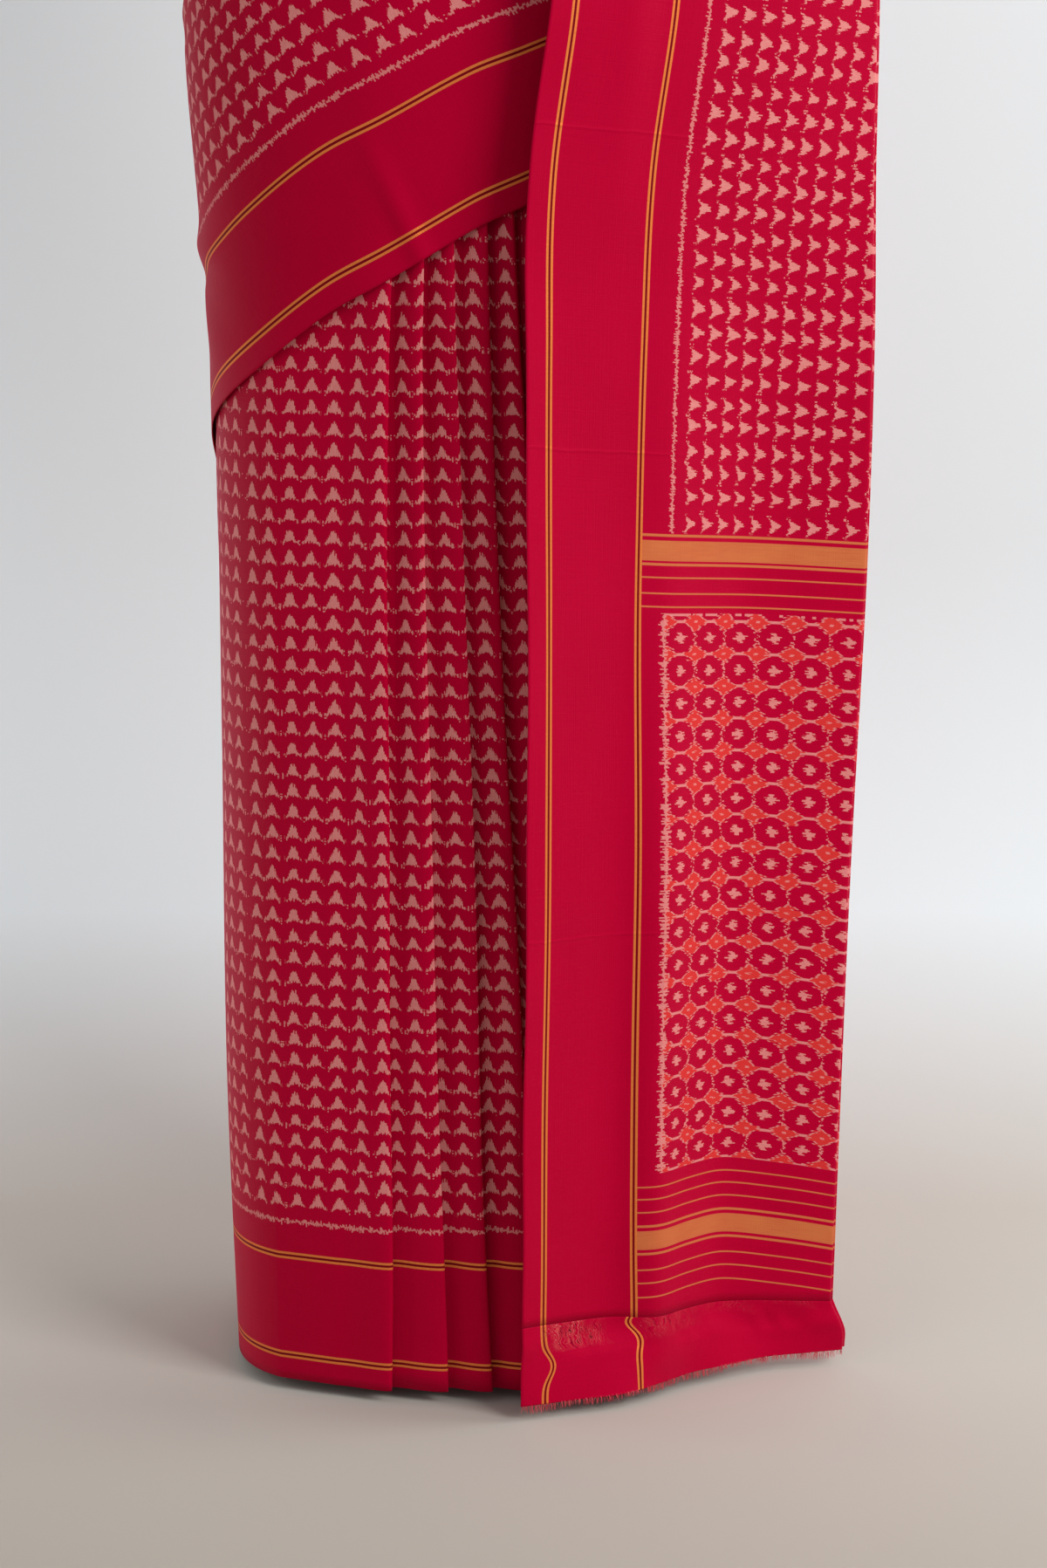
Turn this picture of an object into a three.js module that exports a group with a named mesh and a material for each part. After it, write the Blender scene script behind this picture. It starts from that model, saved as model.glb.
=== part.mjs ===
// A silk saree in its worn form: one long cloth wound round a hollow figure, knife pleats in front,
// a swath across the front, up the back, over the left shoulder, and a folded pallu down the front.
// Millimetres, +Z up, the front faces -Y, +X is the wearer's left. Heights are measured from the floor
// and the finished group is lowered, so that the origin is the waist, where the wearer holds the cloth.
import * as THREE from 'three';

// Driving dimensions
const waistHeight = 1040;
const hemHeight = 8;
const wall = 1.3;             // thickness of a single layer of cloth
const foldWall = 1.2;         // the same, where the cloth lies in pleats
const seam = 0.3;             // gap between stretches that meet
const backSeam = 0.7;         // the same at the back of the shoulder, where the two walls meet at a slant
const layerStep = 2.1;        // from one layer to the next one out
const drapeRise = 6.6;        // how far the last stretch stands out at the left flank and up the back
const foldStep = 2.1;         // from one layer of the folded pallu to the next
const wrapFrom = 78;          // degrees round from the front, where the first turn starts
const wrapTo = 260;           // degrees, the right hip, where the turns reach the front
const flankAngle = 100;       // degrees, where the swath passes to the back
const wrapSteps = 20;
const seamAngle = 0.13;       // degrees, half a seam at the figure's surface

const silk = { color: 0xa8002c, roughness: 0.55, metalness: 0 };

// The general figure that the cloth is wound on: half width, depth to the front and to the back, and how
// square the section is on the wearer's right, where the cloth hangs flat in front (2 is an ellipse)
const figure = [
  { height: 1400, side: 140, front: 96, back: 92, square: 2.1 },
  { height: 1300, side: 152, front: 118, back: 102, square: 2.1 },
  { height: 1220, side: 150, front: 122, back: 102, square: 2.1 },
  { height: 1130, side: 136, front: 104, back: 98, square: 2.1 },
  { height: 1040, side: 126, front: 97, back: 96, square: 2.2 },
  { height: 960, side: 153, front: 110, back: 116, square: 2.4 },
  { height: 880, side: 167, front: 118, back: 128, square: 2.6 },
  { height: 820, side: 170, front: 121, back: 129, square: 2.7 },
  { height: 720, side: 163, front: 120, back: 125, square: 2.9 },
  { height: 680, side: 159.5, front: 119.5, back: 124, square: 3 },
  { height: 600, side: 157, front: 118, back: 121, square: 3.1 },
  { height: 400, side: 156, front: 118, back: 118, square: 3.3 },
  { height: 190, side: 155.5, front: 118, back: 116, square: 3.5 },
  { height: 0, side: 150, front: 118, back: 112, square: 3.6 },
];
const roundSection = 2.1;     // how square the section is on the wearer's left

// Where each front fold lies, as X, at the waist, at mid thigh and at the hem, and how far it stands out.
// The first row is the front panel's own edge, and the others are the pleats' front folds.
const folds = [
  { waist: -34, thigh: -47.5, hem: -50.5, rise: 8 },
  { waist: -22, thigh: -29, hem: -17, rise: 8 },
  { waist: -10, thigh: -9, hem: 11, rise: 8 },
  { waist: 2, thigh: 11, hem: 36, rise: 8 },
  { waist: 14, thigh: 27, hem: 60, rise: 8 },
  { waist: 26, thigh: 41, hem: 83, rise: 7.6 },
  { waist: 38, thigh: 54, hem: 100, rise: 7 },
  { waist: 50, thigh: 66, hem: 115, rise: 6.6 },
];
const thighHeight = 640;

// Heights of the rows that every full-length layer shares
const fullRows = [1040, 1015, 985, 940, 880, 820, 760, 700, 650, 600, 500, 350, 180, hemHeight];
const fixedRows = fullRows.slice(0, 10);

// Lower selvedge of the second turn, and both selvedges of the swath, by angle round from the front
const secondSelvedge = [
  { angle: 20, low: 8 },
  { angle: 110, low: 8 },
  { angle: 140, low: 40 },
  { angle: 180, low: 190 },
  { angle: 220, low: 400 },
  { angle: 245, low: 502 },
  { angle: 260, low: 550 },
];
const swathEdges = [
  { angle: -100, low: 550, high: 1040, rise: 2.3 },
  { angle: -90, low: 567, high: 1040, rise: 2.7 },
  { angle: -66, low: 603, high: 1040, rise: 3 },
  { angle: -53, low: 626, high: 1040, rise: 3.2 },
  { angle: -36, low: 660, high: 1040, rise: 6.6 },
  { angle: -24, low: 677, high: 1040, rise: 10.3 },
  { angle: 0, low: 708, high: 1040, rise: 10.3 },
  { angle: 14, low: 722, high: 1040, rise: 10.3 },
  { angle: 40, low: 748, high: 1044, rise: 10.3 },
  { angle: 60, low: 766, high: 1066, rise: 9.6 },
  { angle: 80, low: 784, high: 1110, rise: 7.6 },
  { angle: 100, low: 800, high: 1150, rise: 6.6 },
];
const swathMeet = 830;        // height above which the swath's rows are evenly spread
const swathLowRows = 5;
const swathHighRows = 8;
const swathSteps = 32;

// Soft ridges of the swath, where it is gathered towards the waist: height at the right hip, how fast each
// climbs to the left, how far it stands out and how wide it is
const gathers = [
  { height: 872, climb: 0.55, rise: 2.2, width: 16 },
  { height: 915, climb: 0.42, rise: 2.8, width: 18 },
  { height: 962, climb: 0.3, rise: 2.4, width: 17 },
  { height: 1006, climb: 0.12, rise: 2.0, width: 15 },
];

// Both selvedges of the stretch that climbs the back, from the left flank to the shoulder
const climb = [
  { lowAngle: 100, low: 800, highAngle: 100, high: 1150 },
  { lowAngle: 128, low: 818, highAngle: 104, high: 1190 },
  { lowAngle: 160, low: 852, highAngle: 109, high: 1225 },
  { lowAngle: 188, low: 905, highAngle: 114, high: 1252 },
  { lowAngle: 203, low: 985, highAngle: 120, high: 1272 },
  { lowAngle: 198, low: 1085, highAngle: 126, high: 1287 },
  { lowAngle: 178, low: 1200, highAngle: 132, high: 1295 },
  { lowAngle: 156, low: 1299.3, highAngle: 136, high: 1299.3 },
];
const climbRows = 16;
const climbColumns = 20;
const climbFolds = 5;
const climbFoldRise = 4;

// The folded stretch from the back, over the shoulder and down the front. Each row gives its inner end
// (towards the middle of the figure), its outer end, how far each hidden layer is set in (below 0 it shows
// as a step beside the face), and its shares of the plan's bow, ripple and swing.
const hanging = [
  { inX: 62, inY: 104, inZ: 1300, outX: 178, outY: 90, outZ: 1300, setIn: -8, bow: 0, ripple: 0, swing: 0 },
  { inX: 64, inY: 97, inZ: 1352, outX: 178, outY: 82, outZ: 1346, setIn: -8, bow: 0, ripple: 0, swing: 0 },
  { inX: 66, inY: 76, inZ: 1400, outX: 178, outY: 64, outZ: 1390, setIn: -8, bow: 0, ripple: 0, swing: 0 },
  { inX: 67, inY: 44, inZ: 1431, outX: 178, outY: 36, outZ: 1418, setIn: -8, bow: 0, ripple: 0, swing: 0 },
  { inX: 67, inY: 6, inZ: 1442, outX: 178, outY: 2, outZ: 1428, setIn: -8, bow: 0, ripple: 0, swing: 0 },
  { inX: 66, inY: -34, inZ: 1433, outX: 178, outY: -30, outZ: 1419, setIn: -8, bow: 0, ripple: 0, swing: 0 },
  { inX: 65, inY: -70, inZ: 1405, outX: 180, outY: -58, outZ: 1392, setIn: -8, bow: 0, ripple: 0, swing: 0 },
  { inX: 63, inY: -100, inZ: 1360, outX: 184, outY: -78, outZ: 1352, setIn: -7, bow: 0, ripple: 0, swing: 0 },
  { inX: 61, inY: -130, inZ: 1300, outX: 192, outY: -94, outZ: 1297, setIn: -4, bow: 0, ripple: 0, swing: 0 },
  { inX: 58, inY: -150, inZ: 1225, outX: 202, outY: -98, outZ: 1225, setIn: -1, bow: 0, ripple: 0, swing: 0 },
  { inX: 55, inY: -158, inZ: 1140, outX: 215, outY: -92, outZ: 1140, setIn: 2, bow: 0, ripple: 0, swing: 0 },
  { inX: 52, inY: -160, inZ: 1040, outX: 228, outY: -82, outZ: 1040, setIn: 4, bow: 0, ripple: 0, swing: 0 },
  { inX: 49, inY: -161, inZ: 940, outX: 234, outY: -73, outZ: 940, setIn: 4, bow: 0, ripple: 0, swing: 0 },
  { inX: 46, inY: -160, inZ: 840, outX: 237, outY: -67, outZ: 840, setIn: 4, bow: 0, ripple: 0, swing: 0 },
  { inX: 33, inY: -158, inZ: 740, outX: 237.5, outY: -59, outZ: 740, setIn: 4, bow: 0.15, ripple: 0, swing: 0 },
  { inX: 31.5, inY: -159.5, inZ: 640, outX: 239.5, outY: -51, outZ: 640, setIn: 4, bow: 0.6, ripple: 0, swing: 0 },
  { inX: 32.5, inY: -160, inZ: 500, outX: 238.5, outY: -42, outZ: 500, setIn: 4, bow: 1, ripple: 0.1, swing: 0 },
  { inX: 32, inY: -160, inZ: 330, outX: 231.5, outY: -48, outZ: 330, setIn: 4, bow: 0.9, ripple: 0.8, swing: 0 },
  { inX: 30, inY: -159.8, inZ: 180, outX: 226.7, outY: -54, outZ: 176, setIn: 4, bow: 1, ripple: 1, swing: 0 },
  { inX: 29.3, inY: -156, inZ: 59, outX: 223.4, outY: -57, outZ: 42, setIn: 4, bow: 0.9, ripple: 1, swing: 0 },
];
const shoulderRows = 8;       // rows of the table that belong to the shoulder stretch
const endRows = [
  { inX: 29, inY: -156.1, inZ: 58.1, outX: 223.4, outY: -57.1, outZ: 41.1, setIn: 4, bow: 0.9, ripple: 1, swing: 0 },
  { inX: 28.6, inY: -155.5, inZ: 36, outX: 231, outY: -56.4, outZ: 23, setIn: 4, bow: 0.5, ripple: 0.5, swing: 0.5 },
  { inX: 28, inY: -154.5, inZ: 12, outX: 231.5, outY: -55.5, outZ: 12, setIn: 4, bow: 0, ripple: 0, swing: 1 },
];
const hiddenLayers = 4;
const peep = 4;               // how far the second right-hand fold shows past the face's own edge
const sideStep = 0.8;         // share of the inner steps that also shows at the outer side
// How far the face lies in front of a straight plan: the bow of the whole panel, the ripple low on it,
// and the swing of its loose end
const planDepths = [
  { across: 0, bow: 0, ripple: 0, swing: 0 },
  { across: 0.15, bow: -5.5, ripple: 0, swing: 3.5 },
  { across: 0.3, bow: -8, ripple: 0, swing: 8.5 },
  { across: 0.42, bow: -6.5, ripple: 6, swing: 2.5 },
  { across: 0.54, bow: -11, ripple: 0, swing: -5.5 },
  { across: 0.66, bow: -15, ripple: -4, swing: -8 },
  { across: 0.77, bow: -13, ripple: -3, swing: -10.5 },
  { across: 0.9, bow: -6, ripple: -1, swing: -5 },
  { across: 1, bow: 0, ripple: 0, swing: 0 },
];

const fringeLocks = 48;
const fringeTop = 11.2;
const fringeRoot = 9.6;
const fringeTip = 4.4;
const fringeWall = 1.2;

const radians = THREE.MathUtils.degToRad;
const lerp = THREE.MathUtils.lerp;

// Value of one column of a table at x, on a smooth curve through its rows
function along(table, key, x, column) {
  const rising = table[table.length - 1][key] > table[0][key];
  const rows = rising ? table : [...table].reverse();
  let i = 0;
  while (i < rows.length - 2 && x > rows[i + 1][key]) i += 1;
  const at = (j) => rows[Math.min(Math.max(j, 0), rows.length - 1)];
  const slope = (j) => {
    const before = at(j - 1);
    const after = at(j + 1);
    return (after[column] - before[column]) / (after[key] - before[key]);
  };
  const span = rows[i + 1][key] - rows[i][key];
  const s = THREE.MathUtils.clamp((x - rows[i][key]) / span, 0, 1);
  const h00 = (1 + 2 * s) * (1 - s) * (1 - s);
  const h01 = s * s * (3 - 2 * s);
  const h10 = s * (1 - s) * (1 - s);
  const h11 = -s * s * (1 - s);
  return h00 * rows[i][column] + h01 * rows[i + 1][column]
    + span * (h10 * slope(i) + h11 * slope(i + 1));
}

// How square the figure's section is on the side where x lies
function squareness(x, height) {
  return x < 0 ? along(figure, 'height', height, 'square') : roundSection;
}

// A point of the figure's surface at an angle from the front and a height, moved out by rise
function onFigure(angle, height, rise) {
  const t = radians(angle);
  const side = along(figure, 'height', height, 'side');
  const depth = along(figure, 'height', height, Math.cos(t) > 0 ? 'front' : 'back');
  const square = squareness(Math.sin(t), height);
  const across = Math.abs(Math.sin(t)) / side;
  const forward = Math.abs(Math.cos(t)) / depth;
  const reach = (across ** square + forward ** square) ** (-1 / square);
  const out = new THREE.Vector2(
    (Math.sign(Math.sin(t)) * (reach * across) ** (square - 1)) / side,
    (-Math.sign(Math.cos(t)) * (reach * forward) ** (square - 1)) / depth,
  ).normalize();
  const x = reach * Math.sin(t) + out.x * rise;
  return new THREE.Vector3(x, -reach * Math.cos(t) + out.y * rise, height);
}

// The angle at which the figure's front surface has this X
function angleOf(x, height) {
  const side = along(figure, 'height', height, 'side');
  const depth = along(figure, 'height', height, 'front');
  const square = squareness(x, height);
  const forward = depth * (1 - Math.abs(x / side) ** square) ** (1 / square);
  return THREE.MathUtils.radToDeg(Math.atan2(x, forward));
}

// X of front fold k at a height
function foldX(k, height) {
  const fold = folds[k];
  if (height > thighHeight) {
    return lerp(fold.thigh, fold.waist, (height - thighHeight) / (waistHeight - thighHeight));
  }
  return lerp(fold.hem, fold.thigh, (height - hemHeight) / (thighHeight - hemHeight));
}

// A closed wall of even thickness whose middle surface passes through a grid of points, rows by columns
function clothWall(name, grid, thickness) {
  const rows = grid.length;
  const columns = grid[0].length;
  const points = [];
  const index = (side, i, j) => side * rows * columns + i * columns + j;
  const at = (i, j) => grid[Math.min(Math.max(i, 0), rows - 1)][Math.min(Math.max(j, 0), columns - 1)];
  for (const side of [0.5, -0.5]) {
    for (let i = 0; i < rows; i += 1) {
      for (let j = 0; j < columns; j += 1) {
        const across = at(i, j + 1).clone().sub(at(i, j - 1)).normalize();
        const down = at(i + 1, j).clone().sub(at(i - 1, j)).normalize();
        const out = down.cross(across).normalize();
        points.push(at(i, j).clone().addScaledVector(out, side * thickness));
      }
    }
  }
  const faces = [];
  const quad = (a, b, c, d) => faces.push(a, b, c, a, c, d);
  for (let i = 0; i < rows - 1; i += 1) {
    for (let j = 0; j < columns - 1; j += 1) {
      quad(index(0, i, j), index(0, i + 1, j), index(0, i + 1, j + 1), index(0, i, j + 1));
      quad(index(1, i, j), index(1, i, j + 1), index(1, i + 1, j + 1), index(1, i + 1, j));
    }
  }
  for (let j = 0; j < columns - 1; j += 1) {
    quad(index(0, 0, j), index(0, 0, j + 1), index(1, 0, j + 1), index(1, 0, j));
    quad(index(0, rows - 1, j), index(1, rows - 1, j), index(1, rows - 1, j + 1), index(0, rows - 1, j + 1));
  }
  for (let i = 0; i < rows - 1; i += 1) {
    quad(index(0, i, 0), index(1, i, 0), index(1, i + 1, 0), index(0, i + 1, 0));
    quad(index(0, i, columns - 1), index(0, i + 1, columns - 1), index(1, i + 1, columns - 1),
      index(1, i, columns - 1));
  }
  return solid(name, points, faces);
}

function solid(name, points, faces) {
  const geometry = new THREE.BufferGeometry().setFromPoints(points);
  geometry.setIndex(faces);
  geometry.computeVertexNormals();
  const mesh = new THREE.Mesh(geometry, new THREE.MeshStandardMaterial(silk));
  mesh.name = name;
  return mesh;
}

// Angles of the stations that both turns share round the back
const backAngles = Array.from({ length: wrapSteps + 1 }, (_, i) => lerp(wrapFrom, wrapTo, i / wrapSteps));

function firstWrap() {
  const angles = backAngles.map((angle, i) => (i === wrapSteps ? angle - seamAngle : angle));
  const grid = fullRows.map((height) => angles.map((angle) => onFigure(angle, height, 0)));
  return clothWall('first_wrap', grid, wall);
}

// The smooth panel, and the fold of its edge over the first pleat
function frontPanel() {
  const smooth = [-99.87, -88, -76, -64, -52];
  const edge = [
    { back: 34, rise: 0.2 },
    { back: 22, rise: 2.2 },
    { back: 13, rise: 5.2 },
    { back: 5, rise: 7.2 },
    { back: 1.3, rise: 7.4 },
    { back: 0, rise: 6.1 },
    { back: 1.3, rise: 4.8 },
    { back: 6, rise: 3.6 },
    { back: 12, rise: 2.2 },
  ];
  const grid = fullRows.map((height) => {
    const x = foldX(0, height);
    const row = smooth.map((angle) => onFigure(angle, height, 0));
    for (const point of edge) row.push(onFigure(angleOf(x - point.back, height), height, point.rise));
    return row;
  });
  return clothWall('front_panel', grid, wall);
}

// Knife pleats: each face runs out to its front fold, turns under, and the next starts behind it
function frontPleats() {
  const nose = foldStep / 2;
  const grid = fullRows.map((height) => {
    const row = [];
    const put = (x, out) => row.push(onFigure(angleOf(x, height), height, out));
    let inner = foldX(0, height) - 11;
    for (let k = 1; k < folds.length; k += 1) {
      const last = foldX(k - 1, height);
      const x = foldX(k, height);
      const pitch = x - last;
      const rise = folds[k].rise;
      put(inner, 0);
      put(last + 0.08 * pitch, 0.1);
      put(last + 0.42 * pitch, 0.52 * rise);
      put(x - 0.26 * pitch, 0.88 * rise);
      put(x - nose, rise);
      put(x, rise - nose);
      put(x - nose, rise - 2 * nose);
      put(x - 0.32 * pitch, 0.42 * rise);
      put(x - 0.5 * pitch, 2);
      put(x - 0.5 * pitch - 0.9, 1);
      inner = x - 0.44 * pitch;
    }
    put(inner, 0);
    put(foldX(folds.length - 1, height) + 3, 0.1);
    return row;
  });
  return clothWall('front_pleats', grid, foldWall);
}

// The second turn starts at the last pleat, and its lower selvedge rises round the back
function secondWrap() {
  const startColumns = 3;
  const columns = [];
  for (let j = 0; j < startColumns; j += 1) {
    columns.push({ share: j / startColumns, rise: lerp(0.1, layerStep, j / (startColumns - 1)) });
  }
  backAngles.forEach((angle, i) => {
    columns.push({ angle: i === wrapSteps ? angle - seamAngle : angle, rise: layerStep });
  });
  const lastFixed = fixedRows[fixedRows.length - 1];
  const grid = fullRows.map((rowHeight) => columns.map((column) => {
    const low = column.angle === undefined ? hemHeight : along(secondSelvedge, 'angle', column.angle, 'low');
    const free = (lastFixed - rowHeight) / (lastFixed - hemHeight);
    const height = free > 0 ? lerp(lastFixed, low, free) : rowHeight;
    if (column.angle !== undefined) return onFigure(column.angle, height, column.rise);
    const start = angleOf(foldX(folds.length - 1, height) + 3 + seam, height);
    return onFigure(lerp(start, wrapFrom, column.share), height, column.rise);
  }));
  return clothWall('second_wrap', grid, wall);
}

// How far the gathers of the swath stand out at an angle and height
function gatherRise(angle, height) {
  const fade = Math.min(1, Math.max(0, (flankAngle - Math.abs(angle)) / 25));
  let rise = 0;
  for (const gather of gathers) {
    const middle = gather.height + gather.climb * (angle + 90) * 0.8;
    rise += gather.rise * Math.exp(-(((height - middle) / gather.width) ** 2));
  }
  return rise * fade;
}

function frontSwath() {
  const stations = Array.from({ length: swathSteps + 1 }, (_, j) => j / swathSteps);
  const angles = stations.map((share) => lerp(-flankAngle, flankAngle, share));
  angles[0] += seamAngle;
  angles[swathSteps] -= seamAngle;
  const rowCount = swathHighRows + swathLowRows + 1;
  const grid = Array.from({ length: rowCount }, (_, i) => angles.map((angle) => {
    const low = along(swathEdges, 'angle', angle, 'low');
    const high = along(swathEdges, 'angle', angle, 'high');
    const height = i <= swathHighRows
      ? lerp(high, swathMeet, i / swathHighRows)
      : lerp(swathMeet, low, (i - swathHighRows) / swathLowRows);
    return onFigure(angle, height, along(swathEdges, 'angle', angle, 'rise') + gatherRise(angle, height));
  }));
  return clothWall('front_swath', grid, wall);
}

// From the left flank up the back, gathered into folds that meet the shoulder stretch
function backDrape() {
  const stations = climb.map((row, i) => ({ ...row, at: i / (climb.length - 1) }));
  const top = hanging[0];
  const grid = Array.from({ length: climbRows + 1 }, (_, i) => {
    const s = i / climbRows;
    const value = (column) => along(stations, 'at', s, column);
    const straight = THREE.MathUtils.smoothstep(s, 0.6, 1);
    return Array.from({ length: climbColumns + 1 }, (_, j) => {
      const v = j / climbColumns;
      const angle = lerp(value('lowAngle'), value('highAngle'), v);
      const height = lerp(value('low'), value('high'), v);
      const gathered = THREE.MathUtils.smoothstep(s, 0.05, 0.9);
      const folded = climbFoldRise * gathered * Math.sin(Math.PI * climbFolds * v) ** 2;
      const round = onFigure(angle + (i === 0 ? seamAngle : 0), height, drapeRise + folded);
      const flatY = lerp(top.inY, top.outY, v) - 0.5 * hiddenLayers * foldStep + folded;
      const flat = new THREE.Vector3(lerp(top.inX, top.outX, v), flatY, top.inZ - backSeam);
      return round.lerp(flat, straight);
    }).reverse();
  }).reverse();
  return clothWall('back_drape', grid, wall);
}

// How far out of a straight line the face's plan lies, at a share of its width
function planDepth(row, share) {
  const at = THREE.MathUtils.clamp(share, 0, 1);
  const depth = (column) => row[column] * along(planDepths, 'across', at, column);
  return depth('bow') + depth('ripple') + depth('swing');
}

// One row of the folded stretch: the face from its inner to its outer end, then the hidden layers behind it
function foldedRow(row, down) {
  const inner = new THREE.Vector3(row.inX, row.inY, row.inZ);
  const outer = new THREE.Vector3(row.outX, row.outY, row.outZ);
  const across = outer.clone().sub(inner);
  const width = across.length();
  across.normalize();
  const out = down.clone().cross(across).normalize();
  const nose = foldStep / 2;
  const points = [];
  const put = (distance, depth) => {
    const plan = planDepth(row, distance / width);
    points.push(inner.clone().addScaledVector(across, distance).addScaledVector(out, plan - depth));
  };
  for (const point of planDepths.slice(0, -1)) put(point.across * width, 0);
  let end = width;
  for (let layer = 1; layer <= hiddenLayers; layer += 1) {
    const depth = layer * foldStep;
    const toLeft = layer % 2 === 1;
    const tip = toLeft ? end : row.setIn * (layer / 2 + 0.5);
    const sign = toLeft ? 1 : -1;
    put(tip - sign * nose, depth - foldStep);
    put(tip, depth - nose);
    put(tip - sign * nose, depth);
    const shares = toLeft ? [0.77, 0.54, 0.3] : [0.3, 0.54, 0.77];
    for (const share of shares) put(share * width, depth);
    if (layer === 2) end = width + peep + sideStep * (peep - row.setIn);
  }
  put(width * 0.92, hiddenLayers * foldStep);
  return points;
}

// The way the cloth runs at each row of a table
function runOf(rows) {
  const middle = (row) => new THREE.Vector3(row.inX + row.outX, row.inY + row.outY, row.inZ + row.outZ);
  return rows.map((row, i) => {
    const before = middle(rows[Math.max(i - 1, 0)]);
    const after = middle(rows[Math.min(i + 1, rows.length - 1)]);
    return after.sub(before).normalize();
  });
}

const hangingRun = runOf(hanging);
hangingRun[0].set(0, 0, 1);

function shoulderDrape() {
  const grid = hanging.slice(0, shoulderRows).map((row, i) => foldedRow(row, hangingRun[i]));
  return clothWall('shoulder_drape', grid, foldWall);
}

function palluFront() {
  const grid = hanging.map((row, i) => foldedRow(row, hangingRun[i])).slice(shoulderRows - 1);
  grid[0] = grid[0].map((point) => point.addScaledVector(hangingRun[shoulderRows - 1], seam));
  return clothWall('pallu_front', grid, foldWall);
}

function palluEnd() {
  const run = runOf(endRows);
  return clothWall('pallu_end', endRows.map((row, i) => foldedRow(row, run[i])), foldWall);
}

// The frayed end: a narrow strip under the face's edge, with three-sided locks of uneven length
function palluFringe() {
  const bottom = endRows[endRows.length - 1];
  const inner = new THREE.Vector3(bottom.inX, bottom.inY, 0);
  const outer = new THREE.Vector3(bottom.outX, bottom.outY, 0);
  const across = outer.clone().sub(inner).normalize();
  const out = new THREE.Vector3(across.y, -across.x, 0);
  const width = outer.distanceTo(inner) - foldStep;
  const stations = 2 * fringeLocks;
  const points = [];
  const tips = [];
  const faces = [];
  for (let j = 0; j <= stations; j += 1) {
    const distance = (j / stations) * width;
    const wave = planDepth(bottom, j / stations);
    const base = inner.clone().addScaledVector(across, distance).addScaledVector(out, wave);
    for (const height of [fringeTop, fringeRoot]) {
      points.push(base.clone().addScaledVector(out, 0.5 * fringeWall).setZ(height));
      points.push(base.clone().addScaledVector(out, -0.5 * fringeWall).setZ(height));
    }
  }
  const firstTip = points.length;
  const at = (j, corner) => 4 * j + corner;
  const quad = (a, b, c, d) => faces.push(a, b, c, a, c, d);
  for (let j = 0; j < stations; j += 1) {
    quad(at(j, 0), at(j, 2), at(j + 1, 2), at(j + 1, 0));
    quad(at(j, 1), at(j + 1, 1), at(j + 1, 3), at(j, 3));
    quad(at(j, 0), at(j + 1, 0), at(j + 1, 1), at(j, 1));
    const corners = [at(j, 2), at(j, 3), at(j + 1, 3), at(j + 1, 2)];
    if (j % 2 === 1) {
      quad(...corners);
      continue;
    }
    const uneven = 0.5 + 0.5 * Math.sin(j * 2.4) * Math.cos(j * 0.7);
    const tip = points[corners[0]].clone().lerp(points[corners[2]], 0.5);
    tip.z = lerp(fringeTip, fringeRoot - 1.6, uneven);
    for (let c = 0; c < 4; c += 1) faces.push(corners[c], corners[(c + 1) % 4], firstTip + tips.length);
    tips.push(tip);
  }
  quad(at(0, 0), at(0, 1), at(0, 3), at(0, 2));
  quad(at(stations, 0), at(stations, 2), at(stations, 3), at(stations, 1));
  return solid('pallu_fringe', points.concat(tips), faces);
}

const group = new THREE.Group();
group.name = 'saree';
group.add(firstWrap(), frontPanel(), frontPleats(), secondWrap(), frontSwath(), backDrape());
group.add(shoulderDrape(), palluFront(), palluEnd(), palluFringe());
group.position.z = -waistHeight;

export default group;
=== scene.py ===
# A silk saree in its worn form. +Z is up, the front faces -Y, +X is the wearer's left, origin at the waist.
# Sizes are named in millimetres, heights above the floor, and turned into metres when a mesh is made.
import math

import bpy
import numpy as np
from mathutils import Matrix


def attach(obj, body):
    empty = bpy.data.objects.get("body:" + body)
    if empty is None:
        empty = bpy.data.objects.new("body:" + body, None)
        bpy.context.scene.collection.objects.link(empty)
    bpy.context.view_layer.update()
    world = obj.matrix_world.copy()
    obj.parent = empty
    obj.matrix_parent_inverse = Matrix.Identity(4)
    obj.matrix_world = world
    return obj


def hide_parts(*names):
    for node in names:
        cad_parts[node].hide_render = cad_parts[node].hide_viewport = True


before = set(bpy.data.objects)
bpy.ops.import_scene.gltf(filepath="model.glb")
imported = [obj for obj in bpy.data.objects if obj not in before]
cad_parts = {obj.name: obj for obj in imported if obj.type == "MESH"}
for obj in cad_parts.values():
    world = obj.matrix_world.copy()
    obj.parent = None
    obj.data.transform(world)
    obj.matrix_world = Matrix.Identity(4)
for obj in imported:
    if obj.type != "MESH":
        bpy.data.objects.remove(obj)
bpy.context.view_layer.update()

MM = 0.001
WAIST = 1040.0
THIGH = 640.0
HEM = 8.0
SHELL = 0.5              # thickness of the silk, with its finish
LAYER_STEP = 2.1         # how far the second turn lies off the figure
DRAPE_RISE = 6.6         # how far the back drape does
FOLD_STEP = 2.1          # from one layer of a fold to the next
HIDDEN_LAYERS = 4        # layers of the folded pallu behind its face
PEEP = 4                 # how far the outer hidden folds show past the face's edge
SIDE_STEP = 0.8
ROUND_SECTION = 2.1      # squareness of the figure's left half, where 2 is an ellipse

# Angles round the figure in degrees: 0 is its front, 90 the wearer's left
WRAP_FROM, WRAP_TO = 78.0, 260.0
FLANK = 100.0
SEAM_ANGLE = 0.13        # left free where two stretches meet

# Distances from the cloth's end, in mm, from which each stretch is counted
FIRST_WRAP_E = 4300.0
PANEL_FOLD_E = 4738.0
PLEATS_E, PLEAT_LENGTH = 4700.0, 81.6
SECOND_WRAP_E = 4000.0
SWATH_E = 3200.0
BACK_DRAPE_E = 1700.0

# The pallu's weft isn't quite level: its slope, and the distance across from which it is counted
WEFT_TILT = 0.09
TILT_FROM = 152.0

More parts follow.
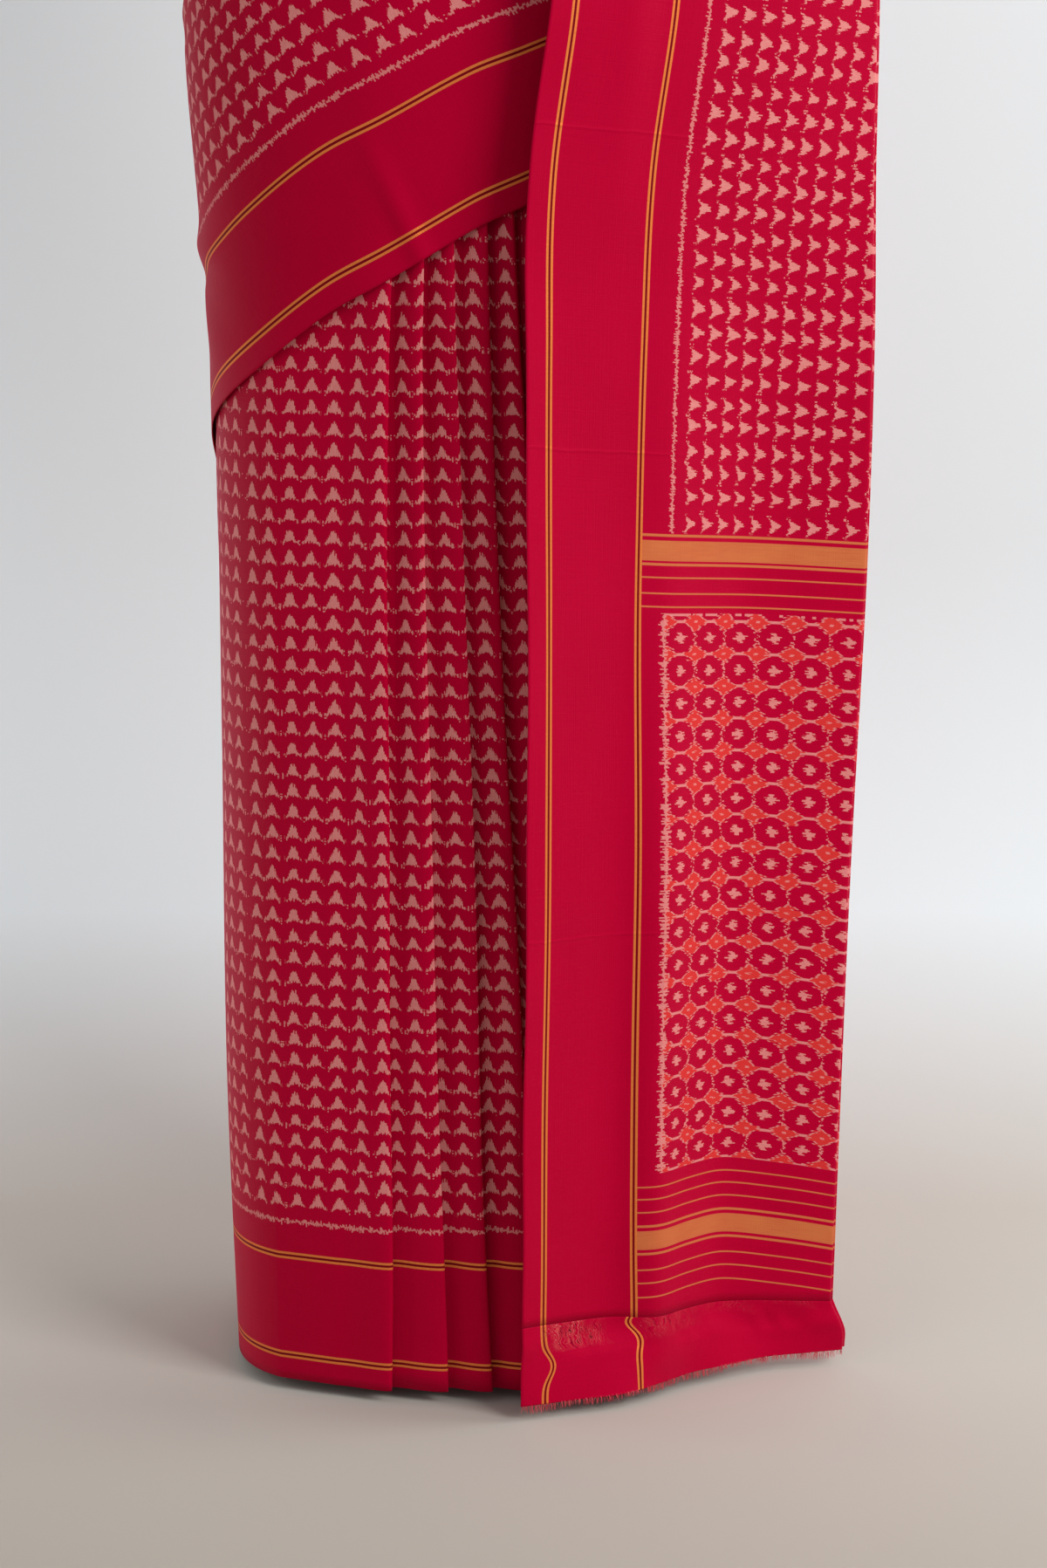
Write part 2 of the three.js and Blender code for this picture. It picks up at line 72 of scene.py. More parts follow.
# The frayed end
FRINGE_YARNS = 620
FRINGE_WIDTH = 236.0
YARN_RADIUS = 0.16
ROOT_INSIDE = 0.8        # how far a yarn's root lies in the cloth
SHORTEST, LONGEST = 1.6, 5.6
LOWEST_TIP = 3.2

# The studio, in metres
CAMERA_AT = (0.030, -2.15, -0.272)
CAMERA_PITCH = 79.3
CAMERA_LENS = 80.13
FLOOR = -1.040
SWEEP_FROM, SWEEP_BEND = -3.2, 0.10      # Y where the floor begins and where it starts to rise
SWEEP_RADIUS, SWEEP_STEPS = 0.45, 12
SWEEP_HALF_WIDTH, WALL_TOP = 4.0, 2.4
LAMPS = (                # name, place, aim, size, power in watts
    ("key", (2.0, -1.9, 1.0), (0.05, 0.0, -0.4), 1.3, 57),
    ("fill", (-1.9, -2.6, 1.2), (0.0, 0.0, -0.1), 2.2, 9),
    ("backdrop", (1.9, 0.0, 0.6), (0.5, 0.55, -0.4), 1.0, 16),
    ("backdrop_left", (-0.95, 0.12, -0.75), (-0.38, 0.5, -0.80), 0.5, 2.0),
)
WORLD_COLOUR = (0.92, 0.93, 0.95, 1)
WORLD_STRENGTH = 0.40
PAPER_FAR = (0.555, 0.515, 0.465)
# the floor paper near the camera, darker with painted shade
PAPER_NEAR_SHADED = (0.385, 0.335, 0.270)
PAPER_WALL = (0.80, 0.875, 0.895)
rng = np.random.default_rng(7)


# Tables

def table(names, rows):
    """Named columns of a short table."""
    columns = np.array(rows, float).T
    return dict(zip(names.split(), columns))


figure = table("height side front back square", [
    (0, 150, 118, 112, 3.6),
    (190, 155.5, 118, 116, 3.5),
    (400, 156, 118, 118, 3.3),
    (600, 157, 118, 121, 3.1),
    (680, 159.5, 119.5, 124, 3),
    (720, 163, 120, 125, 2.9),
    (820, 170, 121, 129, 2.7),
    (880, 167, 118, 128, 2.6),
    (960, 153, 110, 116, 2.4),
    (1040, 126, 97, 96, 2.2),
    (1130, 136, 104, 98, 2.1),
    (1220, 150, 122, 102, 2.1),
    (1300, 152, 118, 102, 2.1),
    (1400, 140, 96, 92, 2.1),
])
folds = table("waist thigh hem rise", [
    (-34, -47.5, -50.5, 8),
    (-22, -29, -17, 8),
    (-10, -9, 11, 8),
    (2, 11, 36, 8),
    (14, 27, 60, 8),
    (26, 41, 83, 7.6),
    (38, 54, 100, 7),
    (50, 66, 115, 6.6),
])
second_selvedge = table("angle low", [
    (20, 8), (110, 8), (140, 40), (180, 190), (220, 400), (245, 502), (260, 550),
])
swath_edges = table("angle low high rise", [
    (-100, 550, 1040, 2.3),
    (-90, 567, 1040, 2.7),
    (-66, 603, 1040, 3),
    (-53, 626, 1040, 3.2),
    (-36, 660, 1040, 6.6),
    (-24, 677, 1040, 10.3),
    (0, 708, 1040, 10.3),
    (14, 722, 1040, 10.3),
    (40, 748, 1044, 10.3),
    (60, 766, 1066, 9.6),
    (80, 784, 1110, 7.6),
    (100, 800, 1150, 6.6),
])
climb = table("at low_angle low high_angle high", [
    (0, 100, 800, 100, 1150),
    (1, 128, 818, 104, 1190),
    (2, 160, 852, 109, 1225),
    (3, 188, 905, 114, 1252),
    (4, 203, 985, 120, 1272),
    (5, 198, 1085, 126, 1287),
    (6, 178, 1200, 132, 1295),
    (7, 156, 1299.3, 136, 1299.3),
])
hanging = table("in_x in_y in_z out_x out_y out_z set_in bow ripple swing", [
    (62, 104, 1300, 178, 90, 1300, -8, 0, 0, 0),
    (64, 97, 1352, 178, 82, 1346, -8, 0, 0, 0),
    (66, 76, 1400, 178, 64, 1390, -8, 0, 0, 0),
    (67, 44, 1431, 178, 36, 1418, -8, 0, 0, 0),
    (67, 6, 1442, 178, 2, 1428, -8, 0, 0, 0),
    (66, -34, 1433, 178, -30, 1419, -8, 0, 0, 0),
    (65, -70, 1405, 180, -58, 1392, -8, 0, 0, 0),
    (63, -100, 1360, 184, -78, 1352, -7, 0, 0, 0),
    (61, -130, 1300, 192, -94, 1297, -4, 0, 0, 0),
    (58, -150, 1225, 202, -98, 1225, -1, 0, 0, 0),
    (55, -158, 1140, 215, -92, 1140, 2, 0, 0, 0),
    (52, -160, 1040, 228, -82, 1040, 4, 0, 0, 0),
    (49, -161, 940, 234, -73, 940, 4, 0, 0, 0),
    (46, -160, 840, 237, -67, 840, 4, 0, 0, 0),
    (33, -158, 740, 237.5, -59, 740, 4, 0.15, 0, 0),
    (31.5, -159.5, 640, 239.5, -51, 640, 4, 0.6, 0, 0),
    (32.5, -160, 500, 238.5, -42, 500, 4, 1, 0.1, 0),
    (32, -160, 330, 231.5, -48, 330, 4, 0.9, 0.8, 0),
    (30, -159.8, 180, 226.7, -54, 176, 4, 1, 1, 0),
    (29.3, -156, 59, 223.4, -57, 42, 4, 0.9, 1, 0),
])
SHOULDER_ROWS = 8
end_rows = table("in_x in_y in_z out_x out_y out_z set_in bow ripple swing", [
    (29.2, -156.1, 59, 223.4, -57.1, 42, 4, 0.9, 1, 0),
    (28.6, -155.5, 36, 231, -56.4, 23, 4, 0.5, 0.5, 0.5),
    (28, -154.5, 9.5, 231.5, -55.5, 9.5, 4, 0, 0, 1),
])
plan_depths = table("across bow ripple swing", [
    (0, 0, 0, 0),
    (0.15, -5.5, 0, 3.5),
    (0.3, -8, 0, 8.5),
    (0.42, -6.5, 6, 2.5),
    (0.54, -11, 0, -5.5),
    (0.66, -15, -4, -8),
    (0.77, -13, -3, -10.5),
    (0.9, -6, -1, -5),
    (1, 0, 0, 0),
])
low_tilt = table("across lift", [
    (0, -6), (70, -4.8), (115, -3.6), (146, -2.3), (161, 0), (176, 3), (199, 7.5), (220, 12.3), (240, 17),
])
LAST_HANGING = len(hanging["in_x"]) - 1
FACE_MIDDLE = 17         # number of the point in the middle of the face


def along(t, key, x, column):
    """Value of one column at x, on a smooth curve through the table's rows."""
    keys, values = t[key], t[column]
    x = np.clip(np.asarray(x, float), keys[0], keys[-1])
    i = np.clip(np.searchsorted(keys, x, side="right") - 1, 0, len(keys) - 2)
    slopes = np.empty_like(keys)
    slopes[1:-1] = (values[2:] - values[:-2]) / (keys[2:] - keys[:-2])
    slopes[0] = (values[1] - values[0]) / (keys[1] - keys[0])
    slopes[-1] = (values[-1] - values[-2]) / (keys[-1] - keys[-2])
    span = keys[i + 1] - keys[i]
    s = (x - keys[i]) / span
    h01 = s * s * (3 - 2 * s)
    h10 = s * (1 - s) * (1 - s)
    h11 = -s * s * (1 - s)
    return (1 - h01) * values[i] + h01 * values[i + 1] + span * (h10 * slopes[i] + h11 * slopes[i + 1])


def lerp(a, b, s):
    """From a to b by the share s."""
    return a + (b - a) * s


def smooth(x, low, high):
    """0 below low, 1 above high and an S between them."""
    s = np.clip((x - low) / (high - low), 0, 1)
    return s * s * (3 - 2 * s)


def bump(x, middle, width):
    """A round rise, 1 at the middle."""
    return np.exp(-(((x - middle) / width) ** 2))


# The figure

def squareness(x, height):
    """Exponent of the section's curve, which is squarer at the wearer's right."""
    return np.where(x < 0, along(figure, "height", height, "square"), ROUND_SECTION)


def on_figure(angle, height, rise):
    """Points of the figure's surface, moved out by rise, in mm above the floor."""
    angle, height, rise = np.broadcast_arrays(angle, height, rise)
    t = np.radians(angle)
    side = along(figure, "height", height, "side")
    front = along(figure, "height", height, "front")
    depth = np.where(np.cos(t) > 0, front, along(figure, "height", height, "back"))
    square = squareness(np.sin(t), height)
    across, forward = np.abs(np.sin(t)) / side, np.abs(np.cos(t)) / depth
    reach = (across ** square + forward ** square) ** (-1 / square)
    out_x = np.sign(np.sin(t)) * (reach * across) ** (square - 1) / side
    out_y = -np.sign(np.cos(t)) * (reach * forward) ** (square - 1) / depth
    size = np.hypot(out_x, out_y)
    return np.stack([
        reach * np.sin(t) + out_x / size * rise,
        -reach * np.cos(t) + out_y / size * rise,
        height,
    ], -1)


def angle_of(x, height):
    """Angle at which the figure's front has this X."""
    side = along(figure, "height", height, "side")
    front = along(figure, "height", height, "front")
    square = squareness(x, height)
    forward = front * (1 - np.abs(x / side) ** square) ** (1 / square)
    return np.degrees(np.arctan2(x, forward))


def fold_x(k, height):
    """X of front fold k at a height."""
    upper = lerp(folds["thigh"][k], folds["waist"][k], (height - THIGH) / (WAIST - THIGH))
    lower = lerp(folds["hem"][k], folds["thigh"][k], (height - HEM) / (THIGH - HEM))
    return np.where(height > THIGH, upper, lower)


def arc_table(height, low=-180.0, high=360.0):
    """Arc length round the figure at a height, as a function of the angle."""
    angles = np.linspace(low, high, 1081)
    points = on_figure(angles, height, 0.0)
    steps = np.linalg.norm(np.diff(points, axis=0), axis=1)
    length = np.concatenate([[0], np.cumsum(steps)])
    return lambda angle: np.interp(angle, angles, length)


# Meshes

def run_length(points, axis):
    """Length from the first point, along rows (axis 0) or columns (axis 1) of a grid."""
    steps = np.linalg.norm(np.diff(points, axis=axis), axis=-1)
    start = np.zeros_like(np.take(steps, [0], axis=axis))
    return np.concatenate([start, np.cumsum(steps, axis=axis)], axis=axis)


def rounded(control, times=2):
    """Cuts the corners of each row of control points, so that folds are round."""
    for _ in range(times):
        first, last = control[:, :1], control[:, -1:]
        a, b = control[:, :-1], control[:, 1:]
        cut = np.stack([0.75 * a + 0.25 * b, 0.25 * a + 0.75 * b], 2)
        control = np.concatenate([first, cut.reshape(len(control), -1, control.shape[-1]), last], 1)
    return control


def normals(points):
    """Outward unit normals of a grid of points."""
    across = np.gradient(points, axis=1)
    down = np.gradient(points, axis=0)
    out = np.cross(down, across)
    return out / np.maximum(np.linalg.norm(out, axis=-1, keepdims=True), 1e-9)


def placed(name, mesh, node):
    """A piece in the scene that rides on the body and replaces its solid."""
    piece = bpy.data.objects.new(name, mesh)
    bpy.context.scene.collection.objects.link(piece)
    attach(piece, "root")
    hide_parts(node)
    return piece


def cloth(node, points, e, v, slot):
    """A thin closed shell on a grid of points in mm, with its cloth coordinates in metres as a UV map."""
    name = "saree_" + node
    rows, columns = points.shape[:2]
    out = normals(points)
    sides = np.concatenate([
        (points + out * SHELL / 2).reshape(-1, 3),
        (points - out * SHELL / 2).reshape(-1, 3),
    ])
    sides[:, 2] -= WAIST
    index = np.arange(rows * columns).reshape(rows, columns)
    a, b, c, d = index[:-1, :-1], index[1:, :-1], index[1:, 1:], index[:-1, 1:]
    face = np.stack([a, b, c, d], -1).reshape(-1, 4)
    back = rows * columns
    edges = np.concatenate([
        np.stack([index[0, :-1], index[0, 1:], index[0, 1:] + back, index[0, :-1] + back], -1),
        np.stack([index[-1, 1:], index[-1, :-1], index[-1, :-1] + back, index[-1, 1:] + back], -1),
        np.stack([index[1:, 0], index[:-1, 0], index[:-1, 0] + back, index[1:, 0] + back], -1),
        np.stack([index[:-1, -1], index[1:, -1], index[1:, -1] + back, index[:-1, -1] + back], -1),
    ])
    faces = np.concatenate([face, face[:, ::-1] + back, edges])
    mesh = bpy.data.meshes.new(name)
    mesh.vertices.add(len(sides))
    mesh.vertices.foreach_set("co", (sides * MM).astype(np.float32).ravel())
    mesh.loops.add(faces.size)
    mesh.loops.foreach_set("vertex_index", faces.astype(np.int32).ravel())
    mesh.polygons.add(len(faces))
    mesh.polygons.foreach_set("loop_start", np.arange(0, faces.size, 4, dtype=np.int32))
    mesh.polygons.foreach_set("use_smooth", np.arange(len(faces)) < 2 * len(face))
    mesh.update(calc_edges=True)
    coordinates = np.stack([e * MM, v * MM], -1).reshape(-1, 2)
    coordinates = np.concatenate([coordinates, coordinates])
    layer = mesh.uv_layers.new(name="Cloth")
    layer.data.foreach_set("uv", coordinates[faces.ravel()].astype(np.float32).ravel())
    mesh.materials.append(silks[slot])
    piece = placed(name, mesh, node)


def grid(rows, columns):
    """Row and column shares from 0 to 1."""
    return np.meshgrid(np.linspace(0, 1, rows), np.linspace(0, 1, columns), indexing="ij")


# Node helpers for the materials

class Nodes:
    """Builds a material's node tree from small sums."""

    def __init__(self, material):
        self.tree = material.node_tree
        self.new = self.tree.nodes.new
        self.link = self.tree.links.new

    def math(self, operation, *values, clamp=False):
        node = self.new("ShaderNodeMath")
        node.operation = operation
        node.use_clamp = clamp
        for i, value in enumerate(values):
            if isinstance(value, (int, float)):
                node.inputs[i].default_value = value
            else:
                self.link(value, node.inputs[i])
        return node.outputs[0]

    def add(self, a, b):
        return self.math("ADD", a, b)

    def sub(self, a, b):
        return self.math("SUBTRACT", a, b)

    def mul(self, a, b):
        return self.math("MULTIPLY", a, b)

    def both(self, a, b):
        return self.math("MINIMUM", a, b)

    def either(self, a, b):
        return self.math("MAXIMUM", a, b)

    def any_of(self, masks):
        """The greatest of one or more masks."""
        joined = masks[0]
        for mask in masks[1:]:
            joined = self.either(joined, mask)
        return joined

    def over(self, a, b, blur=0.25):
        """1 where a is more than b, with an edge blur wide."""
        return self.math("MULTIPLY_ADD", self.sub(a, b), 1 / blur, 0.5, clamp=True)

    def near(self, a, middle, half, blur=0.25):
        """1 where a is within half of middle."""
        return self.over(half, self.math("ABSOLUTE", self.sub(a, middle)), blur)

    def floor(self, a, times=1.0):
        return self.math("FLOOR", self.mul(a, times))

    def random(self, *seeds):
        """A random number from 0 to 1 for each whole value of the seeds."""
        join = self.new("ShaderNodeCombineXYZ")
        for i, seed in enumerate(seeds):
            if isinstance(seed, (int, float)):
                join.inputs[i].default_value = seed
            else:
                self.link(seed, join.inputs[i])
        node = self.new("ShaderNodeTexWhiteNoise")
        node.noise_dimensions = "3D"
        self.link(join.outputs[0], node.inputs["Vector"])
        return node.outputs["Value"]

    def noise(self, x, y, scale_x, scale_y, detail=2.0, seed=0.0):
        """Soft noise over the cloth, from 0 to 1, with its own scale each way."""
        join = self.new("ShaderNodeCombineXYZ")
        self.link(self.mul(x, scale_x), join.inputs[0])
        self.link(self.mul(y, scale_y), join.inputs[1])
        join.inputs[2].default_value = seed
        node = self.new("ShaderNodeTexNoise")
        node.inputs["Scale"].default_value = 1.0
        node.inputs["Detail"].default_value = detail
        self.link(join.outputs[0], node.inputs["Vector"])
        return node.outputs["Fac"]

    def mix(self, factor, a, b):
        """A colour from a to b by the factor."""
        node = self.new("ShaderNodeMix")
        node.data_type = "RGBA"
        self.link(factor, node.inputs[0])
        for socket, value in ((6, a), (7, b)):
            if isinstance(value, tuple):
                node.inputs[socket].default_value = (*value, 1)
            else:
                self.link(value, node.inputs[socket])
        return node.outputs[2]


# Colours of the silk, and the cloth's pattern in mm: e from the cloth's end, v from its lower selvedge

CRIMSON = (0.500, 0.0004, 0.031)
CRIMSON_DARK = (0.400, 0.0002, 0.021)
PINK = (0.720, 0.215, 0.200)
PINK_PALE = (0.800, 0.330, 0.310)
ORANGE = (0.680, 0.036, 0.034)
GOLD = (0.740, 0.180, 0.042)
# painted glint: the brighter gold of small patches along the zari lines
GOLD_PAINTED_GLINT = (0.860, 0.270, 0.065)
GOLD_BAND = (0.700, 0.205, 0.068)
GOLD_WORN = (0.560, 0.070, 0.040)
GOLD_SHADOW = (0.190, 0.003, 0.008)
LOOSE_THREAD = (0.62, 0.085, 0.085)
# painted shade: the near-black seen in the gaps between loose threads
LOOSE_GAP_SHADE = (0.13, 0.001, 0.010)
YARN_DARK = (0.52, 0.003, 0.035)
YARN_PALE = (0.74, 0.07, 0.075)
SHINE_TINT = (1.0, 0.05, 0.20, 1)
WEAVE = 0.55             # from one yarn of the plain weave to the one after the next
YARN = 0.75              # width of one tied bundle of yarns
MOTIF_STEP = 0.8
MOTIF_E, MOTIF_V = 14.0, 12.7
MOTIF_FROM = 521.0       # where the motifs begin, after the end piece
FIRST_ROW = 109.5        # from the selvedge to the first motif's row
LAST_ROW = 1045.0
LINE_AT = 101.5
ZARI_AT = (15.5, 79.5)
LOOSE_PATCHES = (        # v, half, e, half, and how much shows
    (38, 19, 45, 9, 0.75), (108, 22, 43, 7, 0.30), (155, 16, 46, 5, 0.16), (198, 12, 52, 3, 0.35),
)
FIELD_FROM, FIELD_TO = 139.0, 473.5
FIELD_E, FIELD_V = 19.4, 24.3
FIELD_EDGE = 97.0
GOLD_BANDS = ((96.9, 5.9), (510.5, 6.0))      # e and half width
GOLD_LINES = (
    (519.6, 0.75), (502.4, 0.75), (494.6, 0.45), (485.2, 0.45), (477.3, 0.45),
    (130.6, 0.45), (122.9, 0.45), (114.6, 0.45), (105.8, 0.75), (88.3, 0.75), (78.1, 0.45), (69.7, 0.45),
    (60.7, 0.45),
)
CREASES = (285.0, 567.0, 750.0)       # e of the creases of storage


def feathered(n, yarn, row, reach, seed):
    """How far each bundle of yarns has slipped: half of it the same in every row, as tied yarns are."""
    shared = n.random(yarn, seed, 1.0)
    own = n.random(yarn, row, seed)
    return n.mul(n.sub(n.add(shared, own), 1.0), reach)


def ikat_motifs(n, e, v, yarn):
    """Stepped triangles in rows, their tops and feet feathered along the weft."""
    rows = n.sub(v, FIRST_ROW)
    row = n.floor(rows, 1 / MOTIF_V)
    y = n.sub(rows, n.mul(row, MOTIF_V))
    e = n.sub(e, MOTIF_FROM)
    column = n.floor(e, 1 / MOTIF_E)
    lean = n.mul(n.sub(n.random(column, 3.0, 1.0), 0.5), 2.4)
    x = n.add(n.sub(n.sub(e, n.mul(column, MOTIF_E)), MOTIF_E / 2), lean)
    width = n.math("MULTIPLY_ADD", n.random(column, 7.0, 2.0), 0.24, 0.80)
    steps = n.floor(n.math("DIVIDE", n.math("ABSOLUTE", x), width), 1 / MOTIF_STEP)
    out = n.mul(steps, MOTIF_STEP)
    tall = n.math("MULTIPLY_ADD", n.random(column, row, 7.0), 1.0, 8.9)
    tall = n.add(tall, n.mul(n.random(column, 9.0, 4.0), 0.9))
    spire = n.sub(tall, n.mul(n.math("MAXIMUM", n.sub(out, 0.6), 0.0), 2.0))
    feet = n.math("MULTIPLY_ADD", out, -0.35, 4.5)
    top = n.add(n.either(spire, feet), feathered(n, yarn, row, 1.8, 5.0))
    foot = n.math("MULTIPLY_ADD", n.math("MAXIMUM", n.sub(out, 1.6), 0.0), -0.42, 2.9)
    foot = n.add(foot, feathered(n, yarn, row, 1.3, 6.0))
    shape = n.both(n.over(top, y, 0.45), n.over(y, foot, 0.45))
    shape = n.both(shape, n.over(5.5, out, 0.3))
    speck = n.both(n.over(2.2, n.math("ABSOLUTE", n.sub(y, 1.5)), 0.4), n.over(out, 4.6, 0.3))
    speck = n.both(speck, n.over(n.random(yarn, row, 11.0), 0.84, 0.02))
    speck = n.both(speck, n.over(n.random(n.floor(y, 1 / MOTIF_STEP), yarn, 12.0), 0.55, 0.02))
    shape = n.either(shape, speck)
    return n.both(shape, n.both(n.over(v, FIRST_ROW, 0.3), n.over(LAST_ROW, v, 0.3)))


def ragged_line(n, v, yarn, at, reach, seed):
    """A thin line across the weft whose every bundle of yarns has its own length and place."""
    drift = n.mul(n.sub(n.random(yarn, seed, 2.0), 0.5), 1.7)
    length = n.random(yarn, seed, 5.0)
    half = n.math("MULTIPLY_ADD", n.mul(length, length), reach, 0.45)
    return n.over(half, n.math("ABSOLUTE", n.sub(n.add(v, drift), at)), 0.4)


def field_pattern(n, e, v, yarn):
    """Masks of the end piece's field: pink parts, orange diamonds, their hearts, and the ragged border."""
    row = n.floor(n.sub(e, FIELD_FROM), 1 / FIELD_E)
    along_e = n.sub(n.sub(e, FIELD_FROM), n.mul(row, FIELD_E))
    slip = n.mul(n.sub(n.random(yarn, 41.0, 2.0), 0.5), 2.6)
    shifted = n.add(n.sub(v, FIELD_EDGE), slip)
    cell = n.floor(shifted, 1 / FIELD_V)
    along_v = n.sub(shifted, n.mul(cell, FIELD_V))
    dv = n.math("ABSOLUTE", n.sub(along_v, FIELD_V / 2))
    de = n.math("MINIMUM", along_e, n.sub(FIELD_E, along_e))
    side_v = n.sub(FIELD_V / 2, dv)
    diamond = n.add(n.mul(side_v, 1 / 8.4), n.mul(de, 1 / 5.4))
    diamond = n.add(diamond, n.mul(n.sub(n.random(yarn, cell, 13.0), 0.5), 0.44))
    outline = n.over(1.18, diamond, 0.08)
    core = n.over(1.01, diamond, 0.08)
    bars = n.over(0.8, de, 0.3)
    post = n.math("MULTIPLY_ADD", n.random(yarn, cell, 19.0), 2.4, -0.9)
    posts = n.over(post, side_v, 0.4)
    octagon_de = n.sub(FIELD_E / 2, de)
    arm = n.math("MULTIPLY_ADD", n.random(yarn, cell, 23.0), 2.2, 2.6)
    cross = n.either(
        n.both(n.over(arm, dv, 0.4), n.over(1.2, octagon_de, 0.3)),
        n.both(n.over(n.mul(arm, 0.42), dv, 0.4), n.over(3.2, octagon_de, 0.3)))
    heart = n.both(n.over(1.3, side_v, 0.4), n.over(0.65, de, 0.3))
    pink = n.either(n.either(outline, bars), n.either(posts, cross))
    broken = n.over(n.random(n.floor(v, 1 / 2.4), 5.0, 3.0), 0.4, 0.02)
    edge = n.either(n.near(e, FIELD_FROM + 0.7, 0.7, 0.3), n.near(e, FIELD_TO - 0.7, 0.7, 0.3))
    pink = n.either(pink, n.both(edge, broken))
    inside = n.both(n.over(e, FIELD_FROM, 0.3), n.over(FIELD_TO, e, 0.3))
    border = n.both(inside, ragged_line(n, v, yarn, FIELD_EDGE, 3.6, 43.0))
    inside = n.both(inside, n.over(v, FIELD_EDGE, 0.5))
    return n.both(inside, pink), n.both(inside, core), n.both(inside, n.both(core, heart)), border


def ground(n, e, v):
    """Crimson with the slight streaks of hand-dyed yarn: the colour, and the streaks each way."""
    cloudy = n.noise(e, v, 0.012, 0.012, 3.0)
    warp = n.noise(e, v, 0.02, 1.3, 2.0, 4.0)
    weft = n.noise(e, v, 1.3, 0.02, 2.0, 9.0)
    streaks = n.math("MULTIPLY_ADD", n.add(warp, weft), 0.9, -0.6, clamp=True)
    colour = n.mix(n.math("MULTIPLY_ADD", cloudy, 0.8, -0.15, clamp=True), CRIMSON, CRIMSON_DARK)
    return n.mix(n.mul(streaks, 0.4), colour, CRIMSON_DARK), warp, weft


def ikat(n, e, v, colour, end_piece):
    """Draws the rows of motifs, the border's ragged line and, in the end piece, the field."""
    yarn = n.floor(e, 1 / YARN)
    motif = ikat_motifs(n, e, v, yarn)
    line = ragged_line(n, v, yarn, LINE_AT, 1.7, 21.0)
    if end_piece:
        above = n.over(e, MOTIF_FROM, 0.5)
        motif = n.both(motif, above)
        line = n.both(line, above)
    shade = n.noise(e, v, 1.6, 0.25, 2.0, 2.0)
    pink = n.mix(n.math("MULTIPLY_ADD", shade, 1.6, -0.45, clamp=True), PINK, PINK_PALE)
    colour = n.mix(n.mul(motif, 0.92), colour, pink)
    colour = n.mix(n.mul(line, 0.8), colour, pink)
    if end_piece:
        field, diamonds, hearts, border = field_pattern(n, e, v, yarn)
        colour = n.mix(n.mul(field, 0.88), colour, pink)
        colour = n.mix(diamonds, colour, ORANGE)
        colour = n.mix(n.mul(hearts, 0.8), colour, pink)
        colour = n.mix(n.mul(border, 0.85), colour, pink)
    return colour


def gold_bands(n, e, v, colour):
    """Gold lines and bands of the end piece, from the second zari pair to the upper side of the cloth."""
    inside = n.over(v, ZARI_AT[1] + 2.0, 0.3)
    lines = n.both(n.any_of([n.near(e, at, half, 0.3) for at, half in GOLD_LINES]), inside)
    bands = n.both(n.any_of([n.near(e, at, half, 0.3) for at, half in GOLD_BANDS]), inside)
    worn = n.noise(e, v, 2.2, 0.05, 2.0, 14.0)
    patchy = n.noise(e, v, 0.05, 0.035, 2.0, 15.0)
    rubbed = n.math("MULTIPLY_ADD", n.add(worn, patchy), 1.2, -0.85, clamp=True)
    missing = n.over(n.noise(e, v, 0.02, 0.9, 1.0, 16.0), 0.76, 0.05)
    gold = n.mix(n.mul(rubbed, 0.5), GOLD_BAND, GOLD_WORN)
    gold = n.mix(n.mul(missing, 0.6), gold, GOLD_WORN)
    colour = n.mix(n.mul(bands, 0.96), colour, gold)
    colour = n.mix(n.mul(lines, 0.88), colour, GOLD_BAND)
    return colour, n.either(bands, lines)


def zari_pairs(n, e, v, colour):
    """The border's two pairs of gold lines, with painted shadow between the lines of a pair and painted
    glints on the gold.
    """
    distance = n.both(*(n.math("ABSOLUTE", n.sub(v, at)) for at in ZARI_AT))
    zari = n.near(distance, 1.45, 0.72, 0.25)
    between = n.over(0.8, distance, 0.25)
    # Painted glint: the gold turns brighter in small patches along each line.
    painted_glint = n.noise(e, v, 0.5, 2.0, 2.0, 6.0)
    gold = n.mix(n.math("MULTIPLY_ADD", painted_glint, 1.4, -0.4, clamp=True), GOLD, GOLD_PAINTED_GLINT)
    colour = n.mix(between, colour, GOLD_SHADOW)
    return n.mix(zari, colour, gold), zari


def loose_warp(n, e, v, colour):
    """Pale threads show in patches where the weft is missing, with painted shade in a few gaps between them.
    """
    patches = n.any_of([
        n.mul(n.both(n.near(v, v_at, v_half, 14.0), n.near(e, e_at, e_half, 5.0)), amount)
        for v_at, v_half, e_at, e_half, amount in LOOSE_PATCHES
    ])
    uneven = n.noise(e, v, 0.11, 0.09, 3.0, 21.0)
    patches = n.mul(patches, n.math("MULTIPLY_ADD", uneven, 3.0, -0.9, clamp=True))
    wavy = n.add(v, n.mul(n.sub(n.noise(e, v, 0.16, 0.07, 2.0, 28.0), 0.5), 13.0))
    threads = n.over(n.random(n.floor(wavy, 1 / 0.4), n.floor(e, 1 / 7.0), 8.0), 0.52, 0.05)
    colour = n.mix(n.mul(threads, patches), colour, LOOSE_THREAD)
    # Painted shade: the gaps between the loose threads are near black.
    gap_shade = n.over(n.noise(e, wavy, 0.10, 0.55, 1.0, 25.0), 0.62, 0.06)
    colour = n.mix(n.mul(gap_shade, n.math("MULTIPLY", patches, 1.6, clamp=True)), colour, LOOSE_GAP_SHADE)
    specks = n.over(n.noise(e, v, 0.9, 0.9, 1.0, 27.0), 0.70, 0.03)
    return n.mix(n.mul(specks, n.math("MULTIPLY", patches, 1.4, clamp=True)), colour, PINK_PALE)


